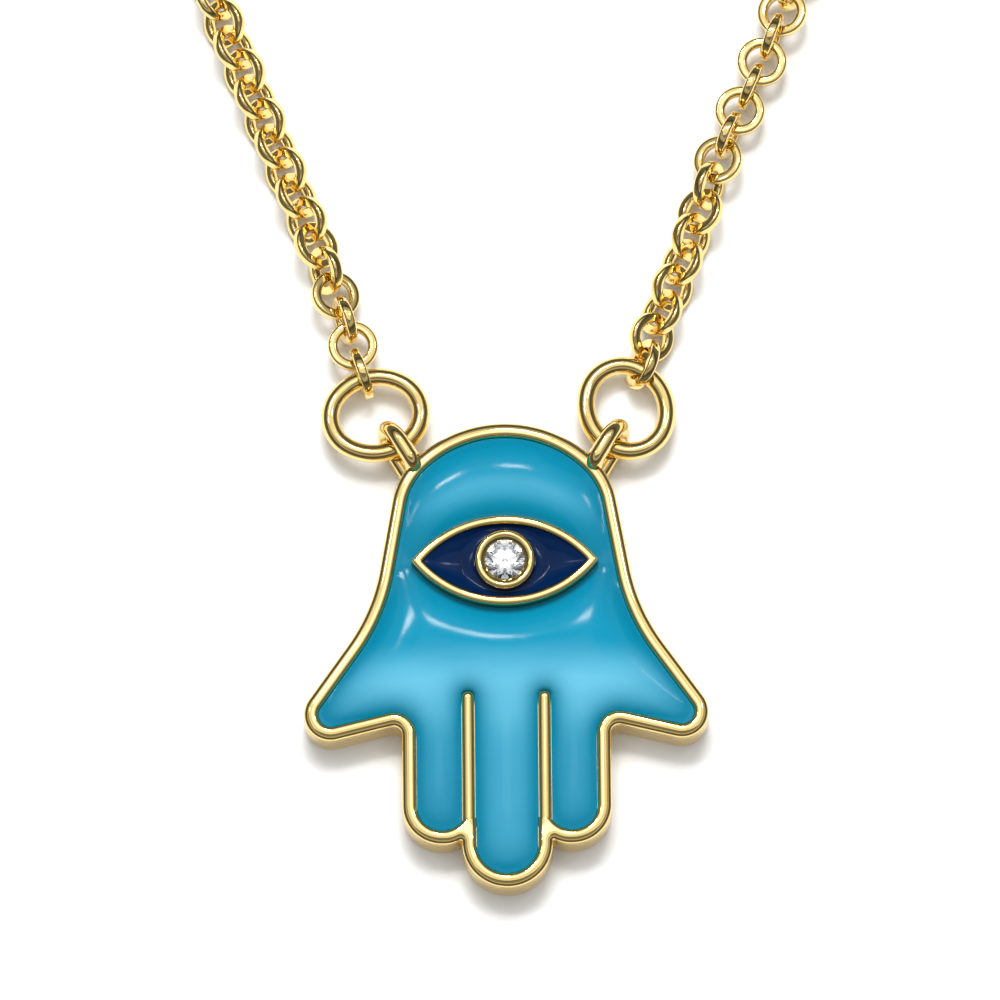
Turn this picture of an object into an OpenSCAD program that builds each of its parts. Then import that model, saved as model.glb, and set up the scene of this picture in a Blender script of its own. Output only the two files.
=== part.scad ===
/* [Hand] */
// Width of the hand across its two thumb tips
hand_w = 15.04; // [14:0.02:16]
// Height of the hand from the dome to the tip of the middle finger
hand_h = 17.56; // [17:0.02:19]
// Width of the three fingers together
fingers_w = 7.74; // [7.2:0.02:8]
// Width of the middle finger with its rims
middle_finger_w = 3.36; // [3:0.02:3.5]
// Distance that the side fingers end above the tip of the middle finger
side_finger_rise = 1.63; // [1.4:0.01:2]
// Rounding radius of the side fingers' tips
side_tip_r = 1.47; // [1.38:0.01:1.56]
// Width of the gold rim, seen from the front
rim_w = 0.53; // [0.46:0.01:0.58]
// Height of the gold rim above the surface that the hand lies on
rim_h = 1.75; // [1.6:0.05:2]
// Rounding of the rim's two top edges
rim_round = 0.16; // [0.08:0.01:0.18]
// Thickness of the gold back plate
plate_t = 0.7; // [0.5:0.05:0.9]
// Width of the gold ribs between the fingers
rib_w = 0.46; // [0.4:0.01:0.5]
// Height of the ribs' rounded top ends below the middle of the hand
rib_top = 1.37; // [1:0.01:1.6]

/* [Eye] */
// Length of the eye from corner to corner
eye_w = 6.92; // [6.4:0.02:7.4]
// Height of the eye's opening with its gold rim
eye_h = 3.4; // [3.2:0.02:3.8]
// Width of the eye's gold rim
eye_rim_w = 0.33; // [0.28:0.01:0.42]
// Distance that the eye's rim stands above the hand's rim
eye_rise = 0.34; // [0.2:0.02:0.4]
// Height of the eye's middle above the middle of the hand
eye_y = 3.49; // [3.2:0.01:3.8]
// Outer diameter of the domed iris in the eye's enamel
iris_d = 3.22; // [3:0.02:3.5]

/* [Stone] */
// Diameter of the round stone
stone_d = 1.64; // [1.5:0.02:1.7]
// Outer diameter of the bezel that holds it
bezel_d = 2.24; // [2.16:0.02:2.5]
// Distance that the bezel stands above the hand's rim
bezel_rise = 0.5; // [0.4:0.05:0.6]
// Share of the stone's diameter that its flat table takes
table_share = 0.57; // [0.5:0.01:0.64]

/* [Enamel] */
// Depth of the enamel's edge below the top of the rim
enamel_recess = 0.22; // [0.1:0.02:0.3]
// Height that the enamel swells above its edge
enamel_swell = 0.5; // [0.2:0.05:0.6]
// Distance from the gold over which most of the swelling happens
swell_reach = 0.9; // [0.5:0.05:1.2]
// Gap between an enamel or stone and the gold round it
seat_gap = 0.03; // [0.02:0.01:0.06]

/* [Rings] */
// Outer length of the two oval jump rings
ring_l = 4.06; // [3.8:0.02:4.2]
// Outer width of the jump rings
ring_w = 3.62; // [3.4:0.02:3.7]
// Wire diameter of the jump rings
ring_wire = 0.68; // [0.56:0.02:0.7]
// Wire diameter of the two lugs soldered to the dome
lug_wire = 0.65; // [0.56:0.01:0.7]
// Clearance of a jump ring's wire in its lug
lug_gap = 0.11; // [0.1:0.01:0.14]
// Direction of the lugs from the hand's upright axis
lug_angle = 31.5; // [28:0.5:36]
// Lean of the lugs' loops, whose upper legs lie nearer to the middle of the dome
lug_lean = 11; // [5:1:12]
// Height of the lugs' middle above the surface
lug_z = 1.1; // [1.1:0.01:1.16]
// Distance that the lugs' holes stand clear of the rim
lug_reach = 0.89; // [0.8:0.01:1.1]

/* [Chain] */
// Outer diameter of a chain link
link_od = 1.87; // [1.8:0.01:1.95]
// Outer diameter of each strand's first link, which holds the jump ring
first_link_od = 1.99; // [1.95:0.01:2.1]
// Width of a link's band, across the ring
link_wire = 0.37; // [0.34:0.01:0.38]
// Thickness of a link's band, along the ring's axis
link_t = 0.38; // [0.34:0.01:0.4]
// Chamfer of the band's edges
link_edge = 0.11; // [0.08:0.01:0.13]
// Play between two neighbouring links
link_gap = 0.1; // [0.08:0.005:0.15]
// Radius of the round part of the chain's loop
loop_r = 46.4; // [42:0.1:50]
// Distance of the loop's middle above the middle of the hand
loop_y = 126.75; // [118:0.05:132]
// Distance of the loop's middle beside the hand's upright axis
loop_x = 1.23; // [0:0.01:2]
// Links of each strand that are near the hand
front_links = 15; // [12:1:20]

/* [Clasp] */
// Diameter of the barrel clasp
barrel_d = 2; // [1.8:0.1:2.4]
// Length of the barrel clasp
barrel_l = 6; // [5:0.5:8]
// Outer diameter of the clasp's two eyes
clasp_eye_od = 1.9; // [1.8:0.05:2.2]
// Wire diameter of the clasp's two eyes
clasp_eye_wire = 0.4; // [0.36:0.02:0.44]

/* [Hidden] */
gold = "#d9a93a";
teal = "#12a5c8";
navy = "#152a6e";
clear = "#e8eef2";

// Corners of the half outline from the dome to the thumb's crook.
// Columns: share of the half width, share of the half height, fillet as a share of the half width,
// steps of the fillet. The dome's two fillets follow from their corners.
half_w = hand_w / 2;
half_h = hand_h / 2;
DOME = [0.260, 1.000];
SHOULDER = [0.531, 0.769];
FLARE = [0.655, 0.192, 0.949, 6];
THUMB = [1.1755, -0.432, 0.132, 10];
CROOK_Y = -0.2956;
CROOK_R = 0.04;
notch_r = 0.05;
dome_steps = 8;
shoulder_steps = 5;
finger_steps = 8;
notch_steps = 4;

// Fingers
mid_half = middle_finger_w / 2;
hand_half = fingers_w / 2;
side_bottom = -half_h + side_finger_rise;
side_x = hand_half - side_tip_r;
side_y = side_bottom + side_tip_r;
notch_turn = asin((side_x - mid_half) / side_tip_r);
notch_y = side_y - side_tip_r * cos(notch_turn);
notch_fillet = side_tip_r - notch_r * tan((90 + notch_turn) / 2) / tan(notch_turn / 2);
rib_x = mid_half - rim_w / 2;
// Turn, in degrees, after which the side fingers' inner arcs end under the ribs
bridge_turn = 60;

function unit(v) = v / norm(v);
function turn(a, b, c) = acos(unit(b - a) * unit(c - b));
function cross_z(u, v) = u.x * v.y - u.y * v.x;

// Fillet radius of corner b whose arc starts a given length before it
function reach_r(a, b, c, length) = length / tan(turn(a, b, c) / 2);

top_point = [0, half_h];
dome = [DOME.x * half_w, DOME.y * half_h];
shoulder = [SHOULDER.x * half_w, SHOULDER.y * half_h];
flare = [FLARE.x * half_w, FLARE.y * half_h];
thumb = [THUMB.x * half_w, THUMB.y * half_h];
crook = [hand_half, CROOK_Y * half_h];
CORNERS = [
    [top_point, 0, 0],
    [dome, reach_r(top_point, dome, shoulder, dome.x), dome_steps],
    [shoulder, reach_r(dome, shoulder, flare, norm(shoulder - dome) - dome.x), shoulder_steps],
    [flare, FLARE[2] * half_w, FLARE[3]],
    [thumb, THUMB[2] * half_w, THUMB[3]],
    [crook, CROOK_R * half_w, finger_steps],
    [[hand_half, side_bottom], side_tip_r, finger_steps],
    [[side_x - side_tip_r * tan(notch_turn / 2), side_bottom], notch_fillet, notch_steps],
    [[mid_half, notch_y], notch_r, notch_steps],
    [[mid_half, -half_h], mid_half, finger_steps],
    [[0, -half_h], 0, 0]
];

// Points of the fillet at corner b of a clockwise outline, moved inward by the inset
function fillet(a, b, c, r, steps, inset) =
    let (u = unit(b - a), bend = turn(a, b, c), side = cross_z(u, unit(c - b)) < 0 ? 1 : -1,
         right = [u.y, -u.x], middle = b - u * r * tan(bend / 2) + side * r * right)
    [for (k = [0:steps])
        let (t = -side * bend * k / steps, d = -side * right)
        middle + (r - side * inset) * [d.x * cos(t) - d.y * sin(t), d.x * sin(t) + d.y * cos(t)]];

// All fillets in a row, with no point twice where one arc runs into the next
function without_twins(points) = [
    for (i = [0:len(points) - 1]) if (i == 0 || norm(points[i] - points[i - 1]) > 0.01) points[i]
];
function fillets(corners, inset) = without_twins([
    for (i = [1:len(corners) - 2])
        each fillet(corners[i - 1][0], corners[i][0], corners[i + 1][0], corners[i][1], corners[i][2], inset)
]);
function mirrored(points) = concat(points, [for (i = [len(points) - 2:-1:1]) [-points[i].x, points[i].y]]);
function hand_outline(inset) = mirrored(fillets(CORNERS, inset));

// Inner outline of the rim: the side fingers' arcs run in under the ribs, which cover their ends
bridge_corner = [side_x - side_tip_r * tan(bridge_turn / 2), side_bottom];
CELL_CORNERS = concat(
    [for (i = [0:6]) CORNERS[i]],
    [[bridge_corner, side_tip_r, finger_steps],
     [bridge_corner + 2 * side_tip_r * [-cos(bridge_turn), sin(bridge_turn)], 0, 0]]
);
MIDDLE_CORNERS = [[[mid_half, side_y], 0, 0], CORNERS[9], CORNERS[10]];
function bridge_y(inset) = side_y - (side_tip_r - inset) * cos(bridge_turn);
function cell_outline(inset) = mirrored(concat(
    fillets(CELL_CORNERS, inset), [[mid_half - inset, bridge_y(inset)]], fillets(MIDDLE_CORNERS, inset)
));

// Eye: two arcs that meet at the corners
eye_arc_r = (pow(eye_w, 2) + pow(eye_h, 2)) / (4 * eye_h);
eye_drop = eye_arc_r - eye_h / 2;
eye_steps = 16;
function eye_half_w(inset) = sqrt(pow(eye_arc_r - inset, 2) - pow(eye_drop, 2));
function eye_arc(inset) =
    let (r = eye_arc_r - inset, a = asin(eye_half_w(inset) / r))
    [for (k = [0:eye_steps]) let (t = -a + 2 * a * k / eye_steps) [r * sin(t), r * cos(t) - eye_drop]];
function eye_outline(inset) =
    let (upper = eye_arc(inset))
    [for (p = concat(upper, [for (i = [eye_steps - 1:-1:1]) [upper[i].x, -upper[i].y]])) p + [0, eye_y]];

// Wall between an outline and its inset, whose two top edges are rounded in steps
round_steps = 2;
module stepped_wall(outer, inner, width, bottom, top) {
    for (k = [0:round_steps]) {
        a = 90 * k / round_steps;
        inset = rim_round * (1 - cos(a));
        z = top - rim_round * (1 - sin(a));
        translate([0, 0, bottom]) linear_extrude(z - bottom) difference() {
            polygon(outer(inset));
            polygon(inner(width - inset));
        }
    }
}

module hand_tray() {
    difference() {
        linear_extrude(rim_h - rim_round) polygon(hand_outline(0));
        translate([0, 0, plate_t]) linear_extrude(rim_h) polygon(cell_outline(rim_w));
    }
}

module hand_rim() {
    outer = function(inset) hand_outline(inset);
    inner = function(inset) cell_outline(inset);
    stepped_wall(outer, inner, rim_w, plate_t / 2, rim_h);
}

module eye_rim() {
    eye = function(inset) eye_outline(inset);
    stepped_wall(eye, eye, eye_rim_w, plate_t / 2, rim_h + eye_rise);
}

// Outline of one rib, grown by a clearance, as a slot with round ends
module rib_outline(grow) {
    translate([rib_x, -rib_top - rib_w / 2]) circle(r = rib_w / 2 + grow, $fn = 48);
    translate([rib_x - rib_w / 2 - grow, notch_y]) square([rib_w + 2 * grow, -rib_top - rib_w / 2 - notch_y]);
}

module ribs() {
    for (side = [0, 1])
        mirror([side, 0, 0])
            translate([0, 0, plate_t / 2])
                linear_extrude(rim_h - rim_round / 2 - plate_t / 2) rib_outline(0);
}

// Stone and bezel, both round about the eye's upright axis
stone_r = stone_d / 2;
bezel_top = rim_h + bezel_rise;
girdle_z = bezel_top - 0.13 * stone_d;
girdle_t = 0.02 * stone_d;
crown_h = 0.16 * stone_d;
pavilion_h = 0.43 * stone_d;
lip_in = 0.05 * stone_d;
lip_lift = 0.055 * stone_d;
bezel_round = 0.12;
seat_in = 0.3 * stone_r;
bezel_r = bezel_d / 2;

module bezel() {
    cavity_r = stone_r + seat_gap;
    seat_z = girdle_z - girdle_t - seat_gap;
    translate([0, eye_y, 0]) rotate_extrude($fn = 64) polygon([
        [bezel_r, plate_t / 2],
        [bezel_r, bezel_top - bezel_round],
        [bezel_r - 0.3 * bezel_round, bezel_top - 0.3 * bezel_round],
        [bezel_r - bezel_round, bezel_top],
        [stone_r + lip_in, bezel_top],
        [stone_r - lip_in, girdle_z + lip_lift],
        [cavity_r, girdle_z + seat_gap],
        [cavity_r, seat_z],
        [cavity_r - seat_in, seat_z - seat_in * pavilion_h / stone_r],
        [cavity_r - seat_in, plate_t / 2]
    ]);
}

module stone() {
    table_r = table_share * stone_r;
    star_r = (table_r + stone_r) / 2 + 0.02 * stone_d;
    star_z = crown_h * (stone_r - star_r * cos(22.5)) / (stone_r - table_r);
    lower_r = 0.22 * stone_r;
    table = [for (i = [0:7]) [table_r * cos(45 * i), table_r * sin(45 * i), crown_h]];
    star = [for (i = [0:7]) [star_r * cos(45 * i + 22.5), star_r * sin(45 * i + 22.5), star_z]];
    upper = [for (i = [0:15]) [stone_r * cos(22.5 * i), stone_r * sin(22.5 * i), 0]];
    lower = [for (p = upper) [p.x, p.y, -girdle_t]];
    main_z = -girdle_t - pavilion_h * (1 - lower_r * cos(22.5) / stone_r);
    main = [for (i = [0:7]) [lower_r * cos(45 * i + 22.5), lower_r * sin(45 * i + 22.5), main_z]];
    culet = [[0, 0, -girdle_t - pavilion_h]];
    // First index of each group of points
    s = 8;
    u = 16;
    l = 32;
    m = 48;
    c = 56;
    color(clear) translate([0, eye_y, girdle_z]) polyhedron(
        points = concat(table, star, upper, lower, main, culet),
        faces = concat(
            [[for (i = [7:-1:0]) i]],
            [for (i = [0:7]) [i, (i + 1) % 8, s + i]],
            [for (i = [0:7]) [i, s + i, u + 2 * i]],
            [for (i = [0:7]) [i, u + 2 * i, s + (i + 7) % 8]],
            [for (i = [0:7]) [s + i, u + 2 * i + 1, u + 2 * i]],
            [for (i = [0:7]) [s + i, u + (2 * i + 2) % 16, u + 2 * i + 1]],
            [for (i = [0:15]) [u + i, u + (i + 1) % 16, l + i]],
            [for (i = [0:15]) [u + (i + 1) % 16, l + (i + 1) % 16, l + i]],
            [for (i = [0:7]) [l + 2 * i, l + 2 * i + 1, m + i]],
            [for (i = [0:7]) [l + 2 * i + 1, l + (2 * i + 2) % 16, m + i]],
            [for (i = [0:7]) [l + 2 * i, m + i, c]],
            [for (i = [0:7]) [l + 2 * i, c, m + (i + 7) % 8]]
        )
    );
}

// Lugs: a loop of wire with two legs that run into the rim
lug_r = (ring_wire + lug_wire) / 2 + lug_gap;
lug_dir = [sin(lug_angle), cos(lug_angle)];
// The hole's middle lies a named distance outside the dome's arc, along the lug's direction
dome_r = CORNERS[1][1];
dome_middle = half_h - dome_r;
lug_seat_angle = 47.5;
lug_foot = dome_r * [sin(lug_seat_angle), cos(lug_seat_angle)] + [0, dome_middle];
lug_hole = lug_foot + lug_reach * lug_dir;
lug_sink = 0.1;
leg_l = lug_reach + lug_sink;

module lug() {
    translate([lug_hole.x, lug_hole.y, lug_z])
        rotate([0, 0, 90 - lug_angle])
            rotate([90 - lug_lean, 0, 0]) {
                rotate_extrude(angle = 180, start = -90, $fn = 48)
                    translate([lug_r, 0]) circle(d = lug_wire, $fn = 32);
                for (end = [-1, 1])
                    translate([-leg_l, end * lug_r, 0])
                        rotate([0, 90, 0]) cylinder(d = lug_wire, h = leg_l, $fn = 32);
            }
}

module pendant_frame() {
    color(gold) {
        hand_tray();
        hand_rim();
        for (side = [0, 1]) mirror([side, 0, 0]) lug();
        ribs();
        eye_rim();
        bezel();
    }
}

// Enamel: its edge lies under the rim's top, and it swells away from the gold in low steps
enamel_base = plate_t + seat_gap;
enamel_edge = rim_h - enamel_recess;
SWELL_REACHES = [0, 0.15, 0.4, 0.8, 1.4];
function swell_top(distance) = enamel_edge + enamel_swell * (1 - exp(-distance / swell_reach));

module cell() {
    difference() {
        polygon(cell_outline(rim_w + seat_gap));
        rib_outline(seat_gap);
        mirror([1, 0]) rib_outline(seat_gap);
        polygon(eye_outline(-seat_gap));
    }
}

module hand_enamel() {
    height = swell_top(max(SWELL_REACHES) * swell_reach) - enamel_base;
    color(teal) translate([0, 0, enamel_base]) resize([0, 0, height]) for (share = SWELL_REACHES)
        linear_extrude(swell_top(share * swell_reach) - enamel_base)
            offset(r = -share * swell_reach, $fn = 16) cell();
}

// Heights of the eye's enamel, as shares of the eye's depth, at shares of the iris's radius
IRIS = [[0, 0.84], [0.72, 0.84], [0.86, 0.82], [0.95, 0.76], [1.0, 0.70], [1.06, 0.68], [1.35, 0.74],
        [1.75, 0.72], [2.3, 0.64]];
module eye_enamel() {
    depth = rim_h + eye_rise - enamel_base;
    color(navy) intersection() {
        translate([0, 0, enamel_base]) linear_extrude(depth) difference() {
            polygon(eye_outline(eye_rim_w + seat_gap));
            translate([0, eye_y]) circle(r = bezel_r + seat_gap, $fn = 64);
        }
        translate([0, eye_y, enamel_base]) rotate_extrude($fn = 96) polygon(concat(
            [[0, -seat_gap]],
            [for (s = IRIS) [s[0] * iris_d / 2, s[1] * depth]],
            [[IRIS[len(IRIS) - 1][0] * iris_d / 2, -seat_gap]]
        ));
    }
}

// Jump rings: ovals of four arcs, one ring in each lug, both lying almost level
ring_long = (ring_l - ring_wire) / 2;
ring_short = (ring_w - ring_wire) / 2;
end_r = ring_short - 0.6 * (ring_long - ring_short);
end_c = ring_long - end_r;
side_r = (pow(end_c, 2) + pow(ring_short, 2) - pow(end_r, 2)) / (2 * (ring_short - end_r));
side_c = side_r - ring_short;
end_turn = atan2(side_c, end_c);
end_span = atan2(end_r * sin(end_turn), end_c + end_r * cos(end_turn));
left_ring_dir = [-0.529, 0.849];
right_ring_dir = [0.388, 0.922];
left_long_angle = 12;
right_long_angle = 111;
left_tilt = [-3, 0, 0];
right_tilt = [-4, 2, 0];

// Distance from a ring's middle to its wire's middle, in a direction counted from its long axis
function ring_reach(angle) =
    let (x = abs(cos(angle)), y = abs(sin(angle)))
    atan2(y, x) < end_span ? end_c * x + sqrt(pow(end_r, 2) - pow(end_c * y, 2))
                           : sqrt(pow(side_r, 2) - pow(side_c * x, 2)) - side_c * y;
function reach(v, long_angle) = ring_reach(atan2(v.y, v.x) - long_angle) * unit(v);
function ring_drop(v, tilt) = v.x * sin(tilt.y) - v.y * sin(tilt.x) * cos(tilt.y);
function flip(p) = [-p.x, p.y];
left_ring = flip(lug_hole) + reach(left_ring_dir, left_long_angle);
right_ring = lug_hole + reach(right_ring_dir, right_long_angle);
left_ring_z = lug_z - ring_drop(left_ring - flip(lug_hole), left_tilt);
right_ring_z = lug_z - ring_drop(right_ring - lug_hole, right_tilt);

module wire_arc(r, start, span) {
    rotate_extrude(angle = span, start = start, $fn = 96)
        translate([r, 0]) circle(d = ring_wire, $fn = 48);
}

module jump_ring(middle, z, tilt, long_angle) {
    color(gold) translate([middle.x, middle.y, z]) rotate(tilt) for (half_turn = [0, 180])
        rotate([0, 0, long_angle + half_turn]) {
            translate([end_c, 0, 0]) wire_arc(end_r, -end_turn, 2 * end_turn);
            translate([0, -side_c, 0]) wire_arc(side_r, end_turn, 180 - 2 * end_turn);
        }
}

module jump_ring_left() {
    jump_ring(left_ring, left_ring_z, left_tilt, left_long_angle);
}

module jump_ring_right() {
    jump_ring(right_ring, right_ring_z, right_tilt, right_long_angle);
}

// Chain: each strand runs straight from its jump ring until it meets the round part of the loop
ring_play = 0.07;
second_play = 0.05;
hook_lead = first_link_od / 2 - link_wire - ring_wire / 2 - ring_play;
first_step = ring_wire / 2 + second_play + link_od / 2 - hook_lead;
pull_left = [-0.30, 0.954];
pull_right = [0.359, 0.933];
start_left = left_ring + reach(pull_left, left_long_angle) + hook_lead * unit(pull_left);
start_right = right_ring + reach(pull_right, right_long_angle) + hook_lead * unit(pull_right);
loop_middle = [loop_x, loop_y];
clasp_eye_r = (clasp_eye_od - clasp_eye_wire) / 2;
clasp_eye_x = barrel_l / 2 + clasp_eye_r;
clasp_turn = asin(clasp_eye_x / loop_r);
clasp_y = loop_y + loop_r * cos(clasp_turn);

// Direction of the straight stretch from its start, turned outward from the upright axis;
// side is 1 for the right strand and -1 for the left one
function to_middle(start, side) = [side * (loop_middle.x - start.x), loop_middle.y - start.y];
function heading(start, side) =
    let (m = to_middle(start, side)) asin(loop_r / norm(m)) - atan2(-m.x, m.y);
function straight_l(start, side) = sqrt(pow(norm(to_middle(start, side)), 2) - pow(loop_r, 2));
function strand_l(start, side) =
    straight_l(start, side) + loop_r * (90 + heading(start, side) - clasp_turn) * PI / 180;

// Sideways sway of the first links off the straight line, at lengths along each strand
SWAY_LEFT = [[0, 0], [2.2, -0.14], [6, -0.18], [10, -0.09], [14, 0]];
SWAY_RIGHT = [[0, 0], [1.2, -0.09], [4, -0.05], [8.6, -0.2], [13, 0]];
function sway(side, s) = lookup(s, side < 0 ? SWAY_LEFT : SWAY_RIGHT);
function sway_turn(side, s) = atan2(sway(side, s + 0.5) - sway(side, s - 0.5), 1);

// Point and direction angle at a length along a strand
function strand_at(start, side, s) =
    let (h = heading(start, side), l = straight_l(start, side), bend = max(0, s - l) / loop_r * 180 / PI,
         a = h - bend, straight = min(s, l) * [sin(h), cos(h)] + sway(side, s) * [cos(h), -sin(h)],
         round = loop_r * [cos(a) - cos(h), sin(h) - sin(a)], p = straight + round)
    [start.x + side * p.x, start.y + p.y, side * (a + sway_turn(side, s))];

// Links per strand, and the pitch that ends the strand at the clasp's eye
hook = link_od / 2 - link_wire + clasp_eye_od / 2 - clasp_eye_wire - link_gap;
pitch_max = link_od - 2 * link_wire - link_gap;
function link_count(start, side) = 2 + ceil((strand_l(start, side) - first_step - hook) / pitch_max);
function pitch(start, side) = (strand_l(start, side) - first_step - hook) / (link_count(start, side) - 2);
function link_s(start, side, i) = i == 0 ? 0 : first_step + (i - 1) * pitch(start, side);
function od(i) = i == 0 ? first_link_od : link_od;

// Roll of the links about the strand: every second link is turned by 90 degrees, and the first
// links turn from flat and upright ones to leaning ones, or the other way round
LEAN_LEFT = [0, 4, 11, 20, 29, 37, 43, 45];
LEAN_RIGHT = [-65, -53, -45, -45, -44, -40, -34, -26, -17, -8, -2, 0, 0, -4, -12, -22, -32, -40, -45];
function lean(table, i) = table[min(i, len(table) - 1)];
function roll_left(i) = (i % 2 == 0 ? 90 : 0) + lean(LEAN_LEFT, i);
function roll_right(i) = (i % 2 == 0 ? 0 : 90) + lean(LEAN_RIGHT, i);
// Height of a link's middle above the surface for its own lean, or for its neighbours' where that is more
function rest_z(roll, d = link_od) =
    let (a = abs(sin(roll)), b = abs(cos(roll)))
    link_edge / 2 + (d - link_edge) / 2 * max(a, b) + (link_t - link_edge) / 2 * min(a, b);

module link(roll, d) {
    w = link_wire / 2;
    t = link_t / 2;
    e = link_edge;
    rotate([0, roll, 0]) rotate_extrude($fn = 64) translate([(d - link_wire) / 2, 0]) polygon([
        [w, -t + e], [w, t - e], [w - e, t], [e - w, t], [-w, t - e], [-w, e - t], [e - w, -t], [w - e, -t]
    ]);
}

module front_left_link(i) {
    p = strand_at(start_left, -1, link_s(start_left, -1, i));
    translate([p.x, p.y, rest_z(roll_left(i), od(i))]) rotate([0, 0, -p.z]) link(roll_left(i), od(i));
}

module front_right_link(i) {
    p = strand_at(start_right, 1, link_s(start_right, 1, i));
    translate([p.x, p.y, rest_z(roll_right(i), od(i))]) rotate([0, 0, -p.z]) link(roll_right(i), od(i));
}

module chain_front_left() {
    color(gold) for (i = [0:front_links - 1]) front_left_link(i);
}

module chain_front_right() {
    color(gold) for (i = [0:front_links - 1]) front_right_link(i);
}

// The rest of a strand as one round body of the chain's own width and height
back_r = rest_z(45);
back_sides = 8;
back_straight_rings = 12;
back_round_rings = 26;
back_corner_r = back_r / cos(180 / back_sides);
function back_lengths(start, side) =
    let (first = link_s(start, side, front_links - 1) + link_od / 2 + link_gap,
         l = straight_l(start, side), end = strand_l(start, side) - clasp_eye_od / 2 - link_gap)
    concat([for (k = [0:back_straight_rings - 1]) first + (l - first) * k / back_straight_rings],
           [for (k = [0:back_round_rings]) l + (end - l) * k / back_round_rings]);
module chain_back(start, side) {
    rings = [for (s = back_lengths(start, side))
        let (p = strand_at(start, side, s))
        [for (k = [0:back_sides - 1]) let (t = 360 * (k + 0.5) / back_sides, r = back_corner_r)
            [p.x + r * cos(t) * cos(p.z), p.y - r * cos(t) * sin(p.z), back_r + r * sin(t)]]];
    m = len(rings);
    n = back_sides;
    color(gold) polyhedron(
        points = [for (ring = rings) each ring],
        faces = concat(
            [[for (k = [n - 1:-1:0]) k]],
            [[for (k = [0:n - 1]) (m - 1) * n + k]],
            [for (j = [0:m - 2], k = [0:n - 1], h = [0, 1])
                let (a = j * n + k, b = j * n + (k + 1) % n)
                h == 0 ? [a, b + n, a + n] : [a, b, b + n]]
        )
    );
}

module chain_back_left() {
    chain_back(start_left, -1);
}

module chain_back_right() {
    chain_back(start_right, 1);
}

// Barrel clasp with an eye at each end, turned like the next link would be
module clasp_eye(side, roll) {
    z = clasp_eye_r * abs(sin(roll)) + clasp_eye_wire / 2;
    translate([side * clasp_eye_x, 0, z]) rotate([roll, 0, 0])
        rotate_extrude($fn = 48) translate([clasp_eye_r, 0]) circle(d = clasp_eye_wire, $fn = 32);
}

module clasp() {
    color(gold) translate([loop_x, clasp_y, 0]) {
        translate([-barrel_l / 2, 0, barrel_d / 2])
            rotate([0, 90, 0]) cylinder(d = barrel_d, h = barrel_l, $fn = 64);
        clasp_eye(-1, roll_left(link_count(start_left, -1)));
        clasp_eye(1, -roll_right(link_count(start_right, 1)));
    }
}

pendant_frame();
hand_enamel();
eye_enamel();
stone();
jump_ring_left();
jump_ring_right();
chain_front_left();
chain_front_right();
chain_back_left();
chain_back_right();
clasp();
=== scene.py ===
"""Dresses the hamsa pendant necklace: frame, enamels, stone, jump rings, chain, clasp and stage."""

import math

import bmesh
import bpy
import numpy as np
from bpy.props import FloatProperty, FloatVectorProperty, IntProperty, PointerProperty
from mathutils import Euler, Matrix, Vector
from mathutils.geometry import delaunay_2d_cdt


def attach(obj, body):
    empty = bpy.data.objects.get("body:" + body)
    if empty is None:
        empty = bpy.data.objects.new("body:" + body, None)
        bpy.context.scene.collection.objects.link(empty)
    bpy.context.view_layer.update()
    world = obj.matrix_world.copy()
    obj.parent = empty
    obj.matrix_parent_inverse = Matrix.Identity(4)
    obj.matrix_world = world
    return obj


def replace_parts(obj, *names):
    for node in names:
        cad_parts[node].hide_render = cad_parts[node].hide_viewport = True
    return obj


bl_info = {
    "name": "Hamsa pendant necklace",
    "version": (1, 0, 0),
    "blender": (4, 5, 0),
    "location": "3D View > Sidebar > Pendant",
    "description": "Builds an enamelled hand pendant on its cable chain",
    "category": "Add Mesh",
}

MM = 0.001
BODY = "root"
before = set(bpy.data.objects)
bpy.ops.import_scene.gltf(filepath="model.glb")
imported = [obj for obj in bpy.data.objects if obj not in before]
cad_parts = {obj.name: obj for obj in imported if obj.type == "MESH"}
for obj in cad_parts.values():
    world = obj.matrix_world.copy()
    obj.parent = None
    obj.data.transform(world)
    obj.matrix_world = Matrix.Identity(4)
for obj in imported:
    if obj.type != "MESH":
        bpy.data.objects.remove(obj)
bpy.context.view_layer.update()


def length(name, description, millimetres):
    return FloatProperty(name=name, description=description, default=millimetres * MM, min=0.0,
                         precision=5, unit="LENGTH")


def share(name, description, value):
    return FloatProperty(name=name, description=description, default=value, min=0.0, max=1.0,
                         subtype="FACTOR")


def turn(name, description, degrees):
    return FloatProperty(name=name, description=description, default=math.radians(degrees), subtype="ANGLE")


def paint(name, description, red, green, blue):
    return FloatVectorProperty(name=name, description=description, default=(red, green, blue),
                               min=0.0, max=1.0, size=3, subtype="COLOR")


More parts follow.
